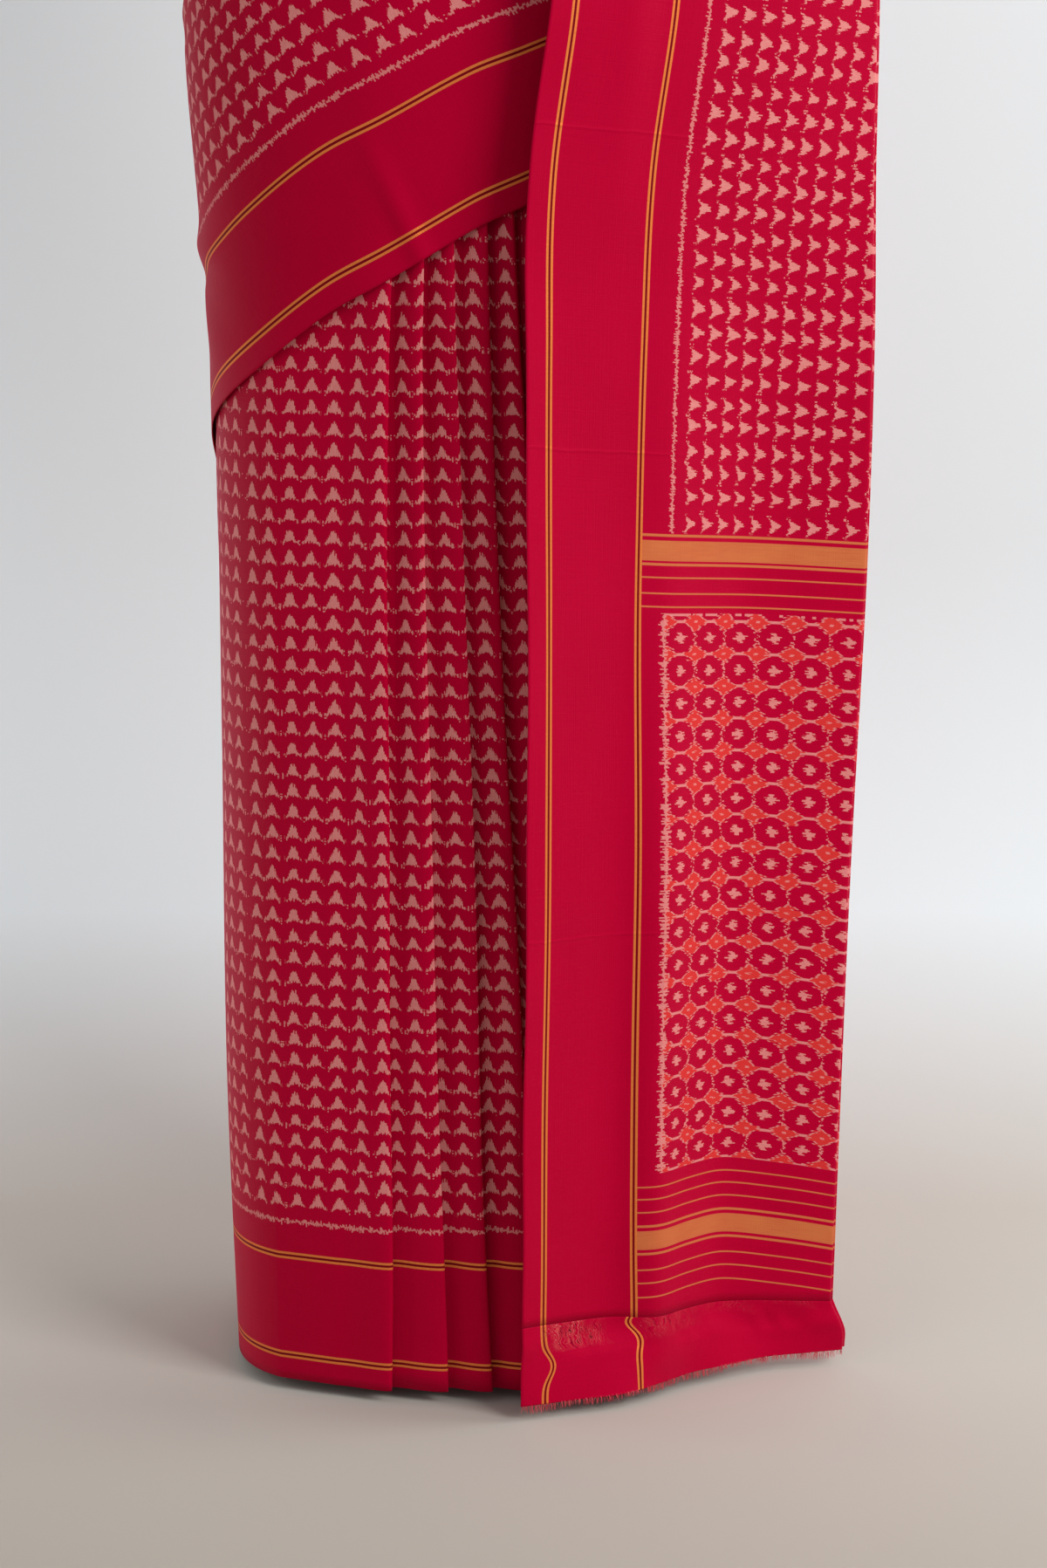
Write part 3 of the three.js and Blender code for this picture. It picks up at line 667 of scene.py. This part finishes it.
def relief_height(n, e, v, warp, weft, metal, creased):
    """Plain weave, yarn by yarn, the raised gold and the creases of storage."""
    threads = n.mul(n.math("SINE", n.mul(e, math.tau / WEAVE)), n.math("SINE", n.mul(v, math.tau / WEAVE)))
    slubs = n.add(n.mul(warp, 0.8), n.mul(weft, 0.8))
    height = n.add(n.mul(threads, 0.10), slubs)
    height = n.add(height, n.mul(metal, 0.35))
    if creased:
        wander = n.mul(n.sub(n.noise(e, v, 0.01, 0.03, 2.0, 33.0), 0.5), 5.0)
        for at in CREASES:
            away = n.math("ABSOLUTE", n.sub(n.add(e, wander), at))
            ridge = n.math("MULTIPLY_ADD", away, -0.7, 1.0, clamp=True)
            height = n.add(height, n.mul(ridge, n.mul(n.over(115.0, v, 60.0), 1.6)))
    return height


def silk(name, end_piece=False, plain=False):
    """Crimson silk with its zari border: with ikat motifs, with the end piece's field as well, or plain."""
    material = bpy.data.materials.new(name)
    material.use_nodes = True
    n = Nodes(material)
    shader = material.node_tree.nodes["Principled BSDF"]
    uv = n.new("ShaderNodeUVMap")
    uv.uv_map = "Cloth"
    split = n.new("ShaderNodeSeparateXYZ")
    n.link(uv.outputs[0], split.inputs[0])
    e = n.mul(split.outputs[0], 1000.0)
    v = n.mul(split.outputs[1], 1000.0)

    colour, warp, weft = ground(n, e, v)
    metal = []
    if not plain:
        colour = ikat(n, e, v, colour, end_piece)
    if end_piece:
        colour, bands = gold_bands(n, e, v, colour)
        metal.append(bands)
    colour, zari = zari_pairs(n, e, v, colour)
    metal = n.any_of([*metal, zari])
    if plain:
        colour = loose_warp(n, e, v, colour)

    n.link(colour, shader.inputs["Base Color"])
    n.link(n.mul(metal, 0.30), shader.inputs["Metallic"])
    rough = n.math("MULTIPLY_ADD", n.add(warp, weft), 0.12, 0.44)
    n.link(n.sub(rough, n.mul(metal, 0.14)), shader.inputs["Roughness"])
    shader.inputs["Specular IOR Level"].default_value = 0.16
    shader.inputs["Specular Tint"].default_value = SHINE_TINT
    shader.inputs["Sheen Weight"].default_value = 0.12
    shader.inputs["Sheen Roughness"].default_value = 0.35
    shader.inputs["Sheen Tint"].default_value = SHINE_TINT

    relief = n.new("ShaderNodeBump")
    relief.inputs["Strength"].default_value = 0.35
    relief.inputs["Distance"].default_value = 0.0004
    n.link(relief_height(n, e, v, warp, weft, metal, end_piece), relief.inputs["Height"])
    n.link(relief.outputs[0], shader.inputs["Normal"])
    return material


silks = {
    "silk_body": silk("silk_body"),
    "silk_pallu": silk("silk_pallu", end_piece=True),
    "silk_end": silk("silk_end", plain=True),
}


# The stretches of the cloth, from the first turn to the fringe

def vertical_folds(angle, height):
    """Soft upright folds of the turns, deeper towards the hem, as hanging silk has."""
    fall = smooth(-height, -620, -60)
    rise = 0.7 * np.sin(np.radians(angle * 7.0) + 0.8 + height * 0.0012)
    rise = rise + 0.5 * np.sin(np.radians(angle * 12.3) + 2.1 - height * 0.0021)
    return rise * (0.25 + 0.75 * fall)


def first_wrap():
    """The first turn, from the left flank over the back to the right hip."""
    h, c = grid(190, 150)
    height = lerp(WAIST, HEM, h)
    angle = lerp(WRAP_FROM, WRAP_TO - SEAM_ANGLE, c)
    rise = 0.55 * vertical_folds(angle, height) * smooth(-height, -560, -420) - 0.05
    points = on_figure(angle, height, rise)
    arc = arc_table(400.0)
    e = FIRST_WRAP_E - arc(angle)
    cloth("first_wrap", points, e, height - HEM, "silk_body")


def front_panel():
    """The smooth panel at the viewer's left, whose edge folds over the pleats."""
    height = np.linspace(WAIST, HEM, 180)[:, None]
    smooth_angles = np.linspace(-99.87, -50, 60)[None, :]
    crease = 1.1 * bump(smooth_angles, -84, 2.2) * smooth(height, 470, 540)
    fall = smooth(-height, -560, -60)
    ripple = 0.9 * np.sin(np.radians(smooth_angles * 9.0) + 1.0 + height * 0.002)
    ripple = ripple * fall * smooth(smooth_angles, -99, -92)
    smooth_part = on_figure(smooth_angles, height, crease + ripple)
    edge = table("back rise", [
        (34, 0.2), (27, 1.0), (20, 2.8), (13, 5.2), (7, 6.9), (3.5, 7.5), (1.3, 7.4), (0, 6.1), (1.3, 4.8),
        (6, 3.6), (12, 2.2),
    ])
    sway = 0.8 * np.sin(height * 0.009 + 0.6) + 0.5 * np.sin(height * 0.021)
    x = fold_x(0, height) - edge["back"][None, :] + sway * smooth(-edge["back"], -30, 0)[None, :]
    edge_part = on_figure(angle_of(x, height), height, edge["rise"][None, :])
    points = np.concatenate([smooth_part, rounded(edge_part, 3)], 1)
    run = run_length(points, 1)
    fold_column = smooth_part.shape[1] + int(0.6 * (points.shape[1] - smooth_part.shape[1]))
    e = PANEL_FOLD_E + run[:, fold_column:fold_column + 1] - run
    v = np.broadcast_to(height - HEM, e.shape)
    cloth("front_panel", points, e, v, "silk_body")


def front_pleats():
    """Knife pleats: each starts under the one before it, stands out and turns back at its nose."""
    height = np.linspace(WAIST, HEM, 95)[:, None]
    nose = FOLD_STEP / 2
    xs, rises = [], []

    def put(x, rise):
        xs.append(x)
        rises.append(rise + 0 * height)

    inner = fold_x(0, height) - 11
    count = len(folds["hem"])
    for k in range(1, count):
        last, x = fold_x(k - 1, height), fold_x(k, height)
        sway = 0.9 * np.sin(height * (0.007 + 0.0013 * k) + 1.7 * k) + 0.4 * np.sin(height * 0.019 + k)
        x = x + sway * smooth(-height, -1000, -900)
        pitch = x - last
        stand = folds["rise"][k]
        put(inner, 0.0)
        put(last + 0.08 * pitch, 0.1)
        put(last + 0.26 * pitch, 0.24 * stand)
        put(last + 0.42 * pitch, 0.52 * stand)
        put(x - 0.42 * pitch, 0.74 * stand)
        put(x - 0.26 * pitch, 0.92 * stand)
        put(x - 0.12 * pitch, stand)
        put(x - nose, stand - 0.1)
        put(x, stand - nose)
        put(x - nose, stand - 2 * nose)
        put(x - 0.32 * pitch, 0.42 * stand)
        put(x - 0.5 * pitch, 2.0)
        put(x - 0.5 * pitch - 0.9, 1.0)
        inner = x - 0.44 * pitch
    put(inner, 0.0)
    put(fold_x(count - 1, height) + 3, 0.1)
    x = np.concatenate(xs, 1)
    rise = np.concatenate(rises, 1)
    control = on_figure(angle_of(x, height), height, rise)
    arc = run_length(control, 1)
    points_each, nose_point = 13, 8
    e = np.empty_like(arc)
    for k in range(count):
        part = slice(k * points_each, min((k + 1) * points_each, arc.shape[1]))
        fold = min(k * points_each + nose_point, arc.shape[1] - 1)
        e[:, part] = PLEATS_E - PLEAT_LENGTH * k - (arc[:, part] - arc[:, fold:fold + 1])
    tracked = rounded(np.concatenate([control, e[..., None]], -1), 2)
    points, e = tracked[..., :3], tracked[..., 3]
    v = np.broadcast_to(height - HEM, e.shape)
    cloth("front_pleats", points, e, v, "silk_body")


def slanted(angle, height, low, arc, start):
    """Cloth coordinates where the lower selvedge climbs: low is its height at each angle."""
    around = arc(angle)
    steps = np.gradient(low[0]) / np.maximum(np.abs(np.gradient(around[0])), 1e-6)
    lean = np.arctan(np.abs(steps))
    spread = len(lean) // 7
    window = np.hanning(2 * spread + 1) / spread
    lean = np.convolve(np.pad(lean, spread, mode="edge"), window, "valid")[None, :]
    selvedge = np.concatenate([[0], np.cumsum(np.hypot(np.diff(around[0]), np.diff(low[0])))])[None, :]
    v = (height - low) * np.cos(lean)
    e = start - selvedge - (height - low) * np.sin(lean)
    return e, v


def second_wrap():
    """The second turn: from beside the pleats round the back, its selvedge rising to the right hip."""
    h, c = grid(170, 160)
    start_share = 0.16
    last_fold = len(folds["hem"]) - 1
    turn_share = np.clip((c - start_share) / (1 - start_share), 0, 1)
    rough_angle = lerp(WRAP_FROM, WRAP_TO - SEAM_ANGLE, turn_share)
    low = along(second_selvedge, "angle", rough_angle, "low")
    height = lerp(WAIST, low, h)
    first = angle_of(fold_x(last_fold, height) + 3.3, height)
    angle = np.where(c < start_share, lerp(first, WRAP_FROM, c / start_share), rough_angle)
    rise = lerp(0.1, LAYER_STEP, smooth(c, 0.0, start_share * 0.9))
    outward = 0.5 * (1 + np.tanh(vertical_folds(angle, height))) * 1.6
    rise = rise + outward * smooth(c, start_share, start_share + 0.06)
    diagonal = height - low
    pull = 1.1 * bump(diagonal, 60, 14) + 0.9 * bump(diagonal, 170 + angle * 0.4, 22)
    rise = rise + pull * smooth(angle, 120, 170) * smooth(-angle, -258, -240)
    points = on_figure(angle, height, rise)
    arc = arc_table(600.0)
    e, v = slanted(angle, height, low, arc, SECOND_WRAP_E)
    cloth("second_wrap", points, e, v, "silk_body")


def swath_relief(angle, height, low):
    """Tucks at the right hip, a pulled crease across the border, and the wrinkles of the gathered edge."""
    rise = 0.0 * angle
    tucks = table("height climb rise width", [
        (830, 0.75, 1.1, 8), (852, 0.66, 1.5, 9), (874, 0.55, 1.0, 7), (903, 0.45, 1.8, 11),
        (938, 0.33, 1.5, 10), (970, 0.22, 1.8, 11), (1003, 0.12, 1.6, 10),
    ])
    for h0, climb_rate, up, width in zip(*tucks.values()):
        middle = h0 + climb_rate * (angle + 90) * (0.85 - 0.001 * (angle + 90))
        fade = smooth(-angle, -60, 30) * 0.85 + 0.15
        rise = rise + up * bump(height, middle, width) * fade
        rise = rise - 0.5 * up * bump(height, middle - 1.9 * width, width * 0.8) * fade
    crease = bump(angle + (height - low) * 0.16, -13.0, 2.6) * smooth(-(height - low), -110, -30)
    rise = rise + 2.4 * crease
    bulge = bump(height, 696, 11) * smooth(-angle, 58, 80)
    pinch = bump(height, 678, 6) * smooth(-angle, 56, 76)
    rise = rise + 3.2 * bulge - 1.0 * pinch
    rumple = np.sin(height * 0.085 + angle * 0.22) * bump(angle, -74, 14) * bump(height, 655, 32)
    return rise + 0.7 * rumple


def front_swath():
    """The stretch across the front, its selvedge rising to the wearer's left."""
    h, c = grid(160, 190)
    angle = lerp(-FLANK + SEAM_ANGLE, FLANK - SEAM_ANGLE, c)
    low = along(swath_edges, "angle", angle, "low")
    high = along(swath_edges, "angle", angle, "high")
    height = lerp(high, low, h)
    fade = smooth(FLANK - np.abs(angle), 0, 8)
    relief = np.maximum(swath_relief(angle, height, low), -0.4)
    rise = along(swath_edges, "angle", angle, "rise") + fade * relief
    points = on_figure(angle, height, rise)
    arc = arc_table(700.0)
    e, v = slanted(angle, height, low, arc, SWATH_E)
    cloth("front_swath", points, e, v, "silk_body")


def back_drape():
    """From the left flank up the back, gathering into folds that lie flat where the shoulder drape begins."""
    s, c = grid(140, 150)
    at = s * 7
    angle = lerp(along(climb, "at", at, "low_angle"), along(climb, "at", at, "high_angle"), c)
    height = lerp(along(climb, "at", at, "low"), along(climb, "at", at, "high"), c)
    gathered = smooth(s, 0.05, 0.9)
    spread = c + 0.02 * np.sin(c * 9.0 + 1.0) + 0.012 * np.sin(s * 7.0)
    folded = 4.0 * gathered * np.sin(math.pi * 5 * spread) ** 2
    folded = folded + 1.2 * gathered * np.sin(math.pi * 13 * spread + s * 3.0) ** 2
    folded = folded + 0.8 * np.sin(c * 14.0 + s * 4.0) * (1 - gathered)
    around = on_figure(angle + 0.13 * (s == 0), height, DRAPE_RISE + folded)
    flat = np.stack([
        lerp(hanging["in_x"][0], hanging["out_x"][0], c),
        lerp(hanging["in_y"][0], hanging["out_y"][0], c) - HIDDEN_LAYERS * FOLD_STEP / 2 + folded,
        np.full_like(c, 1299.3),
    ], -1)
    points = lerp(around, flat, smooth(s, 0.6, 1.0)[..., None])
    points = points[::-1, ::-1]
    v = run_length(points[:, ::-1], 1)[:, ::-1]
    middle = run_length(points, 0)
    e = BACK_DRAPE_E + middle.mean(1, keepdims=True) + 0 * c
    cloth("back_drape", points, e, v, "silk_body")


def by_row(t):
    """The table with the number of each row as one more column."""
    return dict(t, at=np.arange(len(t["in_x"]), dtype=float))


def folded_rows(t, at, upright_start=False):
    """The folded stretch at rows of its table: points, distances across, depths, widths and normals."""
    keyed = by_row(t)
    value = {name: along(keyed, "at", at, name)[:, None] for name in t}
    inner = np.concatenate([value["in_x"], value["in_y"], value["in_z"]], 1)
    outer = np.concatenate([value["out_x"], value["out_y"], value["out_z"]], 1)
    across = outer - inner
    width = np.linalg.norm(across, axis=1, keepdims=True)
    across = across / width
    run = np.gradient(inner + outer, axis=0)
    run = run / np.linalg.norm(run, axis=1, keepdims=True)
    if upright_start:
        upright = smooth(at, 0.0, 1.0)[:, None]
        run = lerp(np.array([[0.0, 0.0, 1.0]]), run, upright)
    out = np.cross(run, across)
    out = out / np.linalg.norm(out, axis=1, keepdims=True)
    nose = FOLD_STEP / 2
    distances, depths = [], []

    def put(distance, depth):
        distances.append(distance)
        depths.append(depth + 0 * width)

    for share in np.linspace(0, 0.98, 34):
        put(share * width, 0.0)
    end = width
    for layer in range(1, HIDDEN_LAYERS + 1):
        depth = layer * FOLD_STEP
        to_left = layer % 2 == 1
        tip = end if to_left else value["set_in"] * (layer / 2 + 0.5)
        sign = 1 if to_left else -1
        put(tip - sign * nose, depth - FOLD_STEP)
        put(tip, depth - nose)
        put(tip - sign * nose, depth)
        shares = (0.9, 0.77, 0.66, 0.54, 0.42, 0.3, 0.15)
        for share in shares if to_left else reversed(shares):
            put(share * width, depth)
        if layer == 2:
            end = width + PEEP + SIDE_STEP * (PEEP - value["set_in"])
    put(width * 0.92, HIDDEN_LAYERS * FOLD_STEP)
    distance = np.concatenate(distances, 1)
    depth = np.concatenate(depths, 1)
    share = np.clip(distance / width, 0, 1)
    curves = ("bow", "ripple", "swing")
    plan = sum(value[name] * along(plan_depths, "across", share, name) for name in curves)
    points = inner[:, None] + across[:, None] * distance[..., None]
    points = points + out[:, None] * (plan - depth)[..., None]
    return points, distance, depth, width, out


def weft_lift(across, at):
    """How much farther from the cloth's end a point lies than its height says: the weft isn't quite level."""
    high = WEFT_TILT * (across - TILT_FROM) - 6.0
    low = along(low_tilt, "across", across, "lift")
    return lerp(high, low, smooth(at, 16.0, 18.2))


def distance_from_end(at):
    """Distance from the cloth's end along the middle of the hanging stretch, at rows of its table."""
    keyed = by_row(hanging)
    everywhere = np.linspace(0, LAST_HANGING, 600)
    middle = np.stack([
        sum(along(keyed, "at", everywhere, key) for key in pair) / 2
        for pair in (("in_x", "out_x"), ("in_y", "out_y"), ("in_z", "out_z"))
    ], -1)
    run = run_length(middle, 0)
    return np.interp(at, everywhere, run[-1] - run + middle[-1, 2])


def raised(points, out, lift, depth):
    """Moves the face out by its relief, and the layers behind it less and less."""
    fade = np.clip(1 - depth / (HIDDEN_LAYERS * FOLD_STEP), 0, 1)
    return points + out[:, None] * (lift * fade)[..., None]


def hung_cloth(node, points, e, v, slot):
    """Rounds the folds, makes the piece and gives the points and cloth coordinates of its last row."""
    tracked = rounded(np.concatenate([points, e[..., None], v[..., None]], -1), 1)
    cloth(node, tracked[..., :3], tracked[..., 3], tracked[..., 4], slot)
    return tracked[-1]


def hanging_cloth(node, at, relief):
    """The folded stretch at rows of its table, with its relief."""
    points, distance, depth, width, out = folded_rows(hanging, at, upright_start=at[0] == 0)
    points = raised(points, out, relief(at[:, None], distance / width), depth)
    row_z = points[:, FACE_MIDDLE:FACE_MIDDLE + 1, 2]
    down = smooth(at[:, None], SHOULDER_ROWS, SHOULDER_ROWS + 2)
    tilt = weft_lift(distance, at[:, None]) + points[..., 2] - row_z
    e = distance_from_end(at)[:, None] + down * tilt
    hung_cloth(node, points, e, run_length(points, 1), "silk_pallu")


def shoulder_relief(at, share):
    """Shallow waves over the shoulder."""
    return 0.5 * np.sin(share * 21.0 + at * 0.5)


def pallu_relief(at, share):
    """The shallow upright waves of the hanging panel, and the pulls near its top."""
    rise = 0.5 * np.sin(share * 13.0 + at * 0.35) * smooth(at, 8, 12)
    rise = rise + 1.2 * bump(share, 0.20 + 0.004 * at, 0.05) * smooth(-at, -15, -12.5)
    rise = rise - 0.9 * bump(share, 0.30 + 0.004 * at, 0.05) * smooth(-at, -15, -12.5)
    rise = rise + 0.7 * np.sin(at * 5.5 + share * 4.0) * bump(share, 0.0, 0.06)
    return rise * smooth(at, 7.0, 7.6) * (1 - smooth(at, 18.7, 19.0))


def shoulder_drape():
    """The folded stretch over the left shoulder."""
    at = np.linspace(0, SHOULDER_ROWS - 1, 80)
    hanging_cloth("shoulder_drape", at, shoulder_relief)


def pallu_front():
    """The folded pallu down the front, a hair below the shoulder drape."""
    at = np.linspace(SHOULDER_ROWS - 1 + 0.006, LAST_HANGING, 240)
    hanging_cloth("pallu_front", at, pallu_relief)


def end_relief(at, share):
    """The slack band bags a little, in short uneven puckers, and the strip under it swings free."""
    loose = bump(at, 0.62, 0.34) * smooth(at, 0.0, 0.3)
    rise = 0.9 * np.sin(share * 61 + np.sin(share * 23) * 2) * loose
    rise = rise + 0.9 * np.sin(share * 19 + at * 2.5) * loose
    return rise + 1.0 * np.sin(share * 9.0 + 1.0) * smooth(at, 1.2, 2.0)


def pallu_end():
    """The loose-warp band and the strip under it. Gives its lower edge: points and distances across."""
    at = np.linspace(0, 2, 60)
    points, distance, depth, width, out = folded_rows(end_rows, at)
    above = folded_rows(hanging, np.linspace(17, LAST_HANGING, 12))[0][-1]
    points = points + (above - points[0]) * (1 - smooth(at, 0.0, 0.8))[:, None, None]
    stands_off = ((points - points[0]) * out[0]).sum(-1)
    points = points - out[0] * (stands_off * (1 - smooth(at, 0.0, 1.0))[:, None])[..., None]
    points = raised(points, out, end_relief(at[:, None], distance / width), depth)
    e = points[..., 2] + weft_lift(distance, 19.0)
    v = run_length(points, 1)
    height = points[..., 2]
    first_pair, second_pair = bump(v, 16.0, 22.0), bump(v, 80.0, 24.0)
    v = v - 7.0 * first_pair * bump(height, 32.0, 9.0) + 4.0 * second_pair * bump(height, 50.0, 5.0)
    v = v - 3.0 * second_pair * bump(height, 39.0, 6.0)
    lower = hung_cloth("pallu_end", points, e, v, "silk_end")
    return lower[:, :3], lower[:, 4]


def strands(name, node, roots, tips, radius, material):
    """Fine three-sided yarns, each bent once between its root and its tip, as one mesh."""
    vertices, faces = [], []
    for root, tip in zip(roots, tips):
        bend = (root + tip) / 2 + rng.normal(0, 0.35, 3)
        base = len(vertices)
        for centre, size in ((root, 1.0), (bend, 0.85), (tip, 0.35)):
            for j in range(3):
                turn = math.tau * j / 3
                vertices.append(centre + radius * size * np.array([math.cos(turn), math.sin(turn), 0.0]))
        for k in range(2):
            for j in range(3):
                a, b = base + 3 * k + j, base + 3 * k + (j + 1) % 3
                faces.append((a, b, b + 3, a + 3))
        faces.append((base + 2, base + 1, base))
        faces.append((base + 6, base + 7, base + 8))
    mesh = bpy.data.meshes.new(name)
    in_metres = (np.array(vertices) - (0, 0, WAIST)) * MM
    mesh.from_pydata(in_metres.tolist(), [], faces)
    mesh.update()
    mesh.materials.append(material)
    placed(name, mesh, node)


def yarn_material():
    """Loose silk yarn, a little paler than the cloth and uneven along its length."""
    material = bpy.data.materials.new("silk_yarn")
    material.use_nodes = True
    n = Nodes(material)
    shader = material.node_tree.nodes["Principled BSDF"]
    where = n.new("ShaderNodeTexCoord")
    noise = n.new("ShaderNodeTexNoise")
    noise.inputs["Scale"].default_value = 260.0
    noise.inputs["Detail"].default_value = 2.0
    n.link(where.outputs["Object"], noise.inputs["Vector"])
    pale = n.math("MULTIPLY_ADD", noise.outputs["Fac"], 2.2, -0.7, clamp=True)
    n.link(n.mix(pale, YARN_DARK, YARN_PALE), shader.inputs["Base Color"])
    n.link(n.math("MULTIPLY_ADD", noise.outputs["Fac"], 0.25, 0.42), shader.inputs["Roughness"])
    shader.inputs["Sheen Weight"].default_value = 0.25
    return material


def fringe(edge, across):
    """The frayed end: uneven yarns along the face's lower edge."""
    line = edge[across < FRINGE_WIDTH]
    length = run_length(line[None], 1)[0]
    places = np.sort(rng.uniform(0, length[-1], FRINGE_YARNS))
    roots = np.stack([np.interp(places, length, line[:, k]) for k in range(3)], -1)
    roots[:, 2] += ROOT_INSIDE
    waves = 1.6 * np.sin(places * 0.11) * np.sin(places * 0.047 + 1)
    hang = 3.4 + waves + rng.uniform(-0.9, 0.9, FRINGE_YARNS)
    tips = roots.copy()
    tips[:, 2] -= np.clip(hang, SHORTEST, LONGEST) + ROOT_INSIDE
    tips[:, 2] = np.maximum(tips[:, 2], LOWEST_TIP)
    tips[:, :2] += rng.normal(0, 0.7, (FRINGE_YARNS, 2))
    strands("saree_fringe", "pallu_fringe", roots, tips, YARN_RADIUS, yarn_material())


first_wrap()
front_panel()
front_pleats()
second_wrap()
front_swath()
back_drape()
shoulder_drape()
pallu_front()
lower_edge, lower_across = pallu_end()
fringe(lower_edge, lower_across)


# The studio: floor and wall in one sweep, soft lights, and the camera

def studio():
    """The paper sweep: floor, a quarter circle and the wall, with painted shade on the floor towards the
    camera.
    """
    profile = [(SWEEP_FROM, FLOOR), (SWEEP_BEND, FLOOR)]
    for k in range(1, SWEEP_STEPS + 1):
        turn = math.pi / 2 * k / SWEEP_STEPS
        height = FLOOR + SWEEP_RADIUS * (1 - math.cos(turn))
        profile.append((SWEEP_BEND + SWEEP_RADIUS * math.sin(turn), height))
    profile.append((SWEEP_BEND + SWEEP_RADIUS, WALL_TOP))
    vertices = [(x, y, z) for y, z in profile for x in (-SWEEP_HALF_WIDTH, SWEEP_HALF_WIDTH)]
    faces = [(2 * k, 2 * k + 1, 2 * k + 3, 2 * k + 2) for k in range(len(profile) - 1)]
    mesh = bpy.data.meshes.new("studio_sweep")
    mesh.from_pydata(vertices, [], faces)
    mesh.polygons.foreach_set("use_smooth", [True] * len(faces))
    sweep = bpy.data.objects.new("studio_sweep", mesh)
    bpy.context.scene.collection.objects.link(sweep)
    paper = bpy.data.materials.new("studio_paper")
    paper.use_nodes = True
    shader = paper.node_tree.nodes["Principled BSDF"]
    n = Nodes(paper)
    where = n.new("ShaderNodeTexCoord")
    split = n.new("ShaderNodeSeparateXYZ")
    n.link(where.outputs["Object"], split.inputs[0])
    rising = n.math("MULTIPLY_ADD", n.sub(split.outputs[2], FLOOR), 1 / 0.16, -0.1, clamp=True)
    # Painted shade: the floor paper turns darker towards the camera.
    painted_floor_shade = n.math("MULTIPLY_ADD", split.outputs[1], -1.4, -0.1, clamp=True)
    floor_colour = n.mix(painted_floor_shade, PAPER_FAR, PAPER_NEAR_SHADED)
    n.link(n.mix(rising, floor_colour, PAPER_WALL), shader.inputs["Base Color"])
    shader.inputs["Roughness"].default_value = 0.9
    shader.inputs["Specular IOR Level"].default_value = 0.1
    mesh.materials.append(paper)


def lamp(name, at, aim, size, power):
    """A square area lamp that shines from its place to its aim."""
    data = bpy.data.lights.new(name, "AREA")
    data.energy = power
    data.size = size
    lamp_object = bpy.data.objects.new(name, data)
    lamp_object.location = at
    x, y, z = np.array(aim) - np.array(at)
    lamp_object.rotation_euler = (math.atan2(math.hypot(x, y), -z), 0, math.atan2(y, x) - math.pi / 2)
    bpy.context.scene.collection.objects.link(lamp_object)


def surroundings():
    """Even light from all round, and colours shown as they are."""
    world = bpy.data.worlds.new("studio_world")
    world.use_nodes = True
    background = world.node_tree.nodes["Background"]
    background.inputs["Color"].default_value = WORLD_COLOUR
    background.inputs["Strength"].default_value = WORLD_STRENGTH
    bpy.context.scene.world = world
    bpy.context.scene.view_settings.view_transform = "Standard"


def camera():
    """The photo's camera."""
    data = bpy.data.cameras.new("camera")
    data.lens = CAMERA_LENS
    data.sensor_width = 36.0
    camera_object = bpy.data.objects.new("camera", data)
    camera_object.location = CAMERA_AT
    camera_object.rotation_euler = (math.radians(CAMERA_PITCH), 0, 0)
    bpy.context.scene.collection.objects.link(camera_object)
    bpy.context.scene.camera = camera_object


studio()
for one_lamp in LAMPS:
    lamp(*one_lamp)
surroundings()
camera()
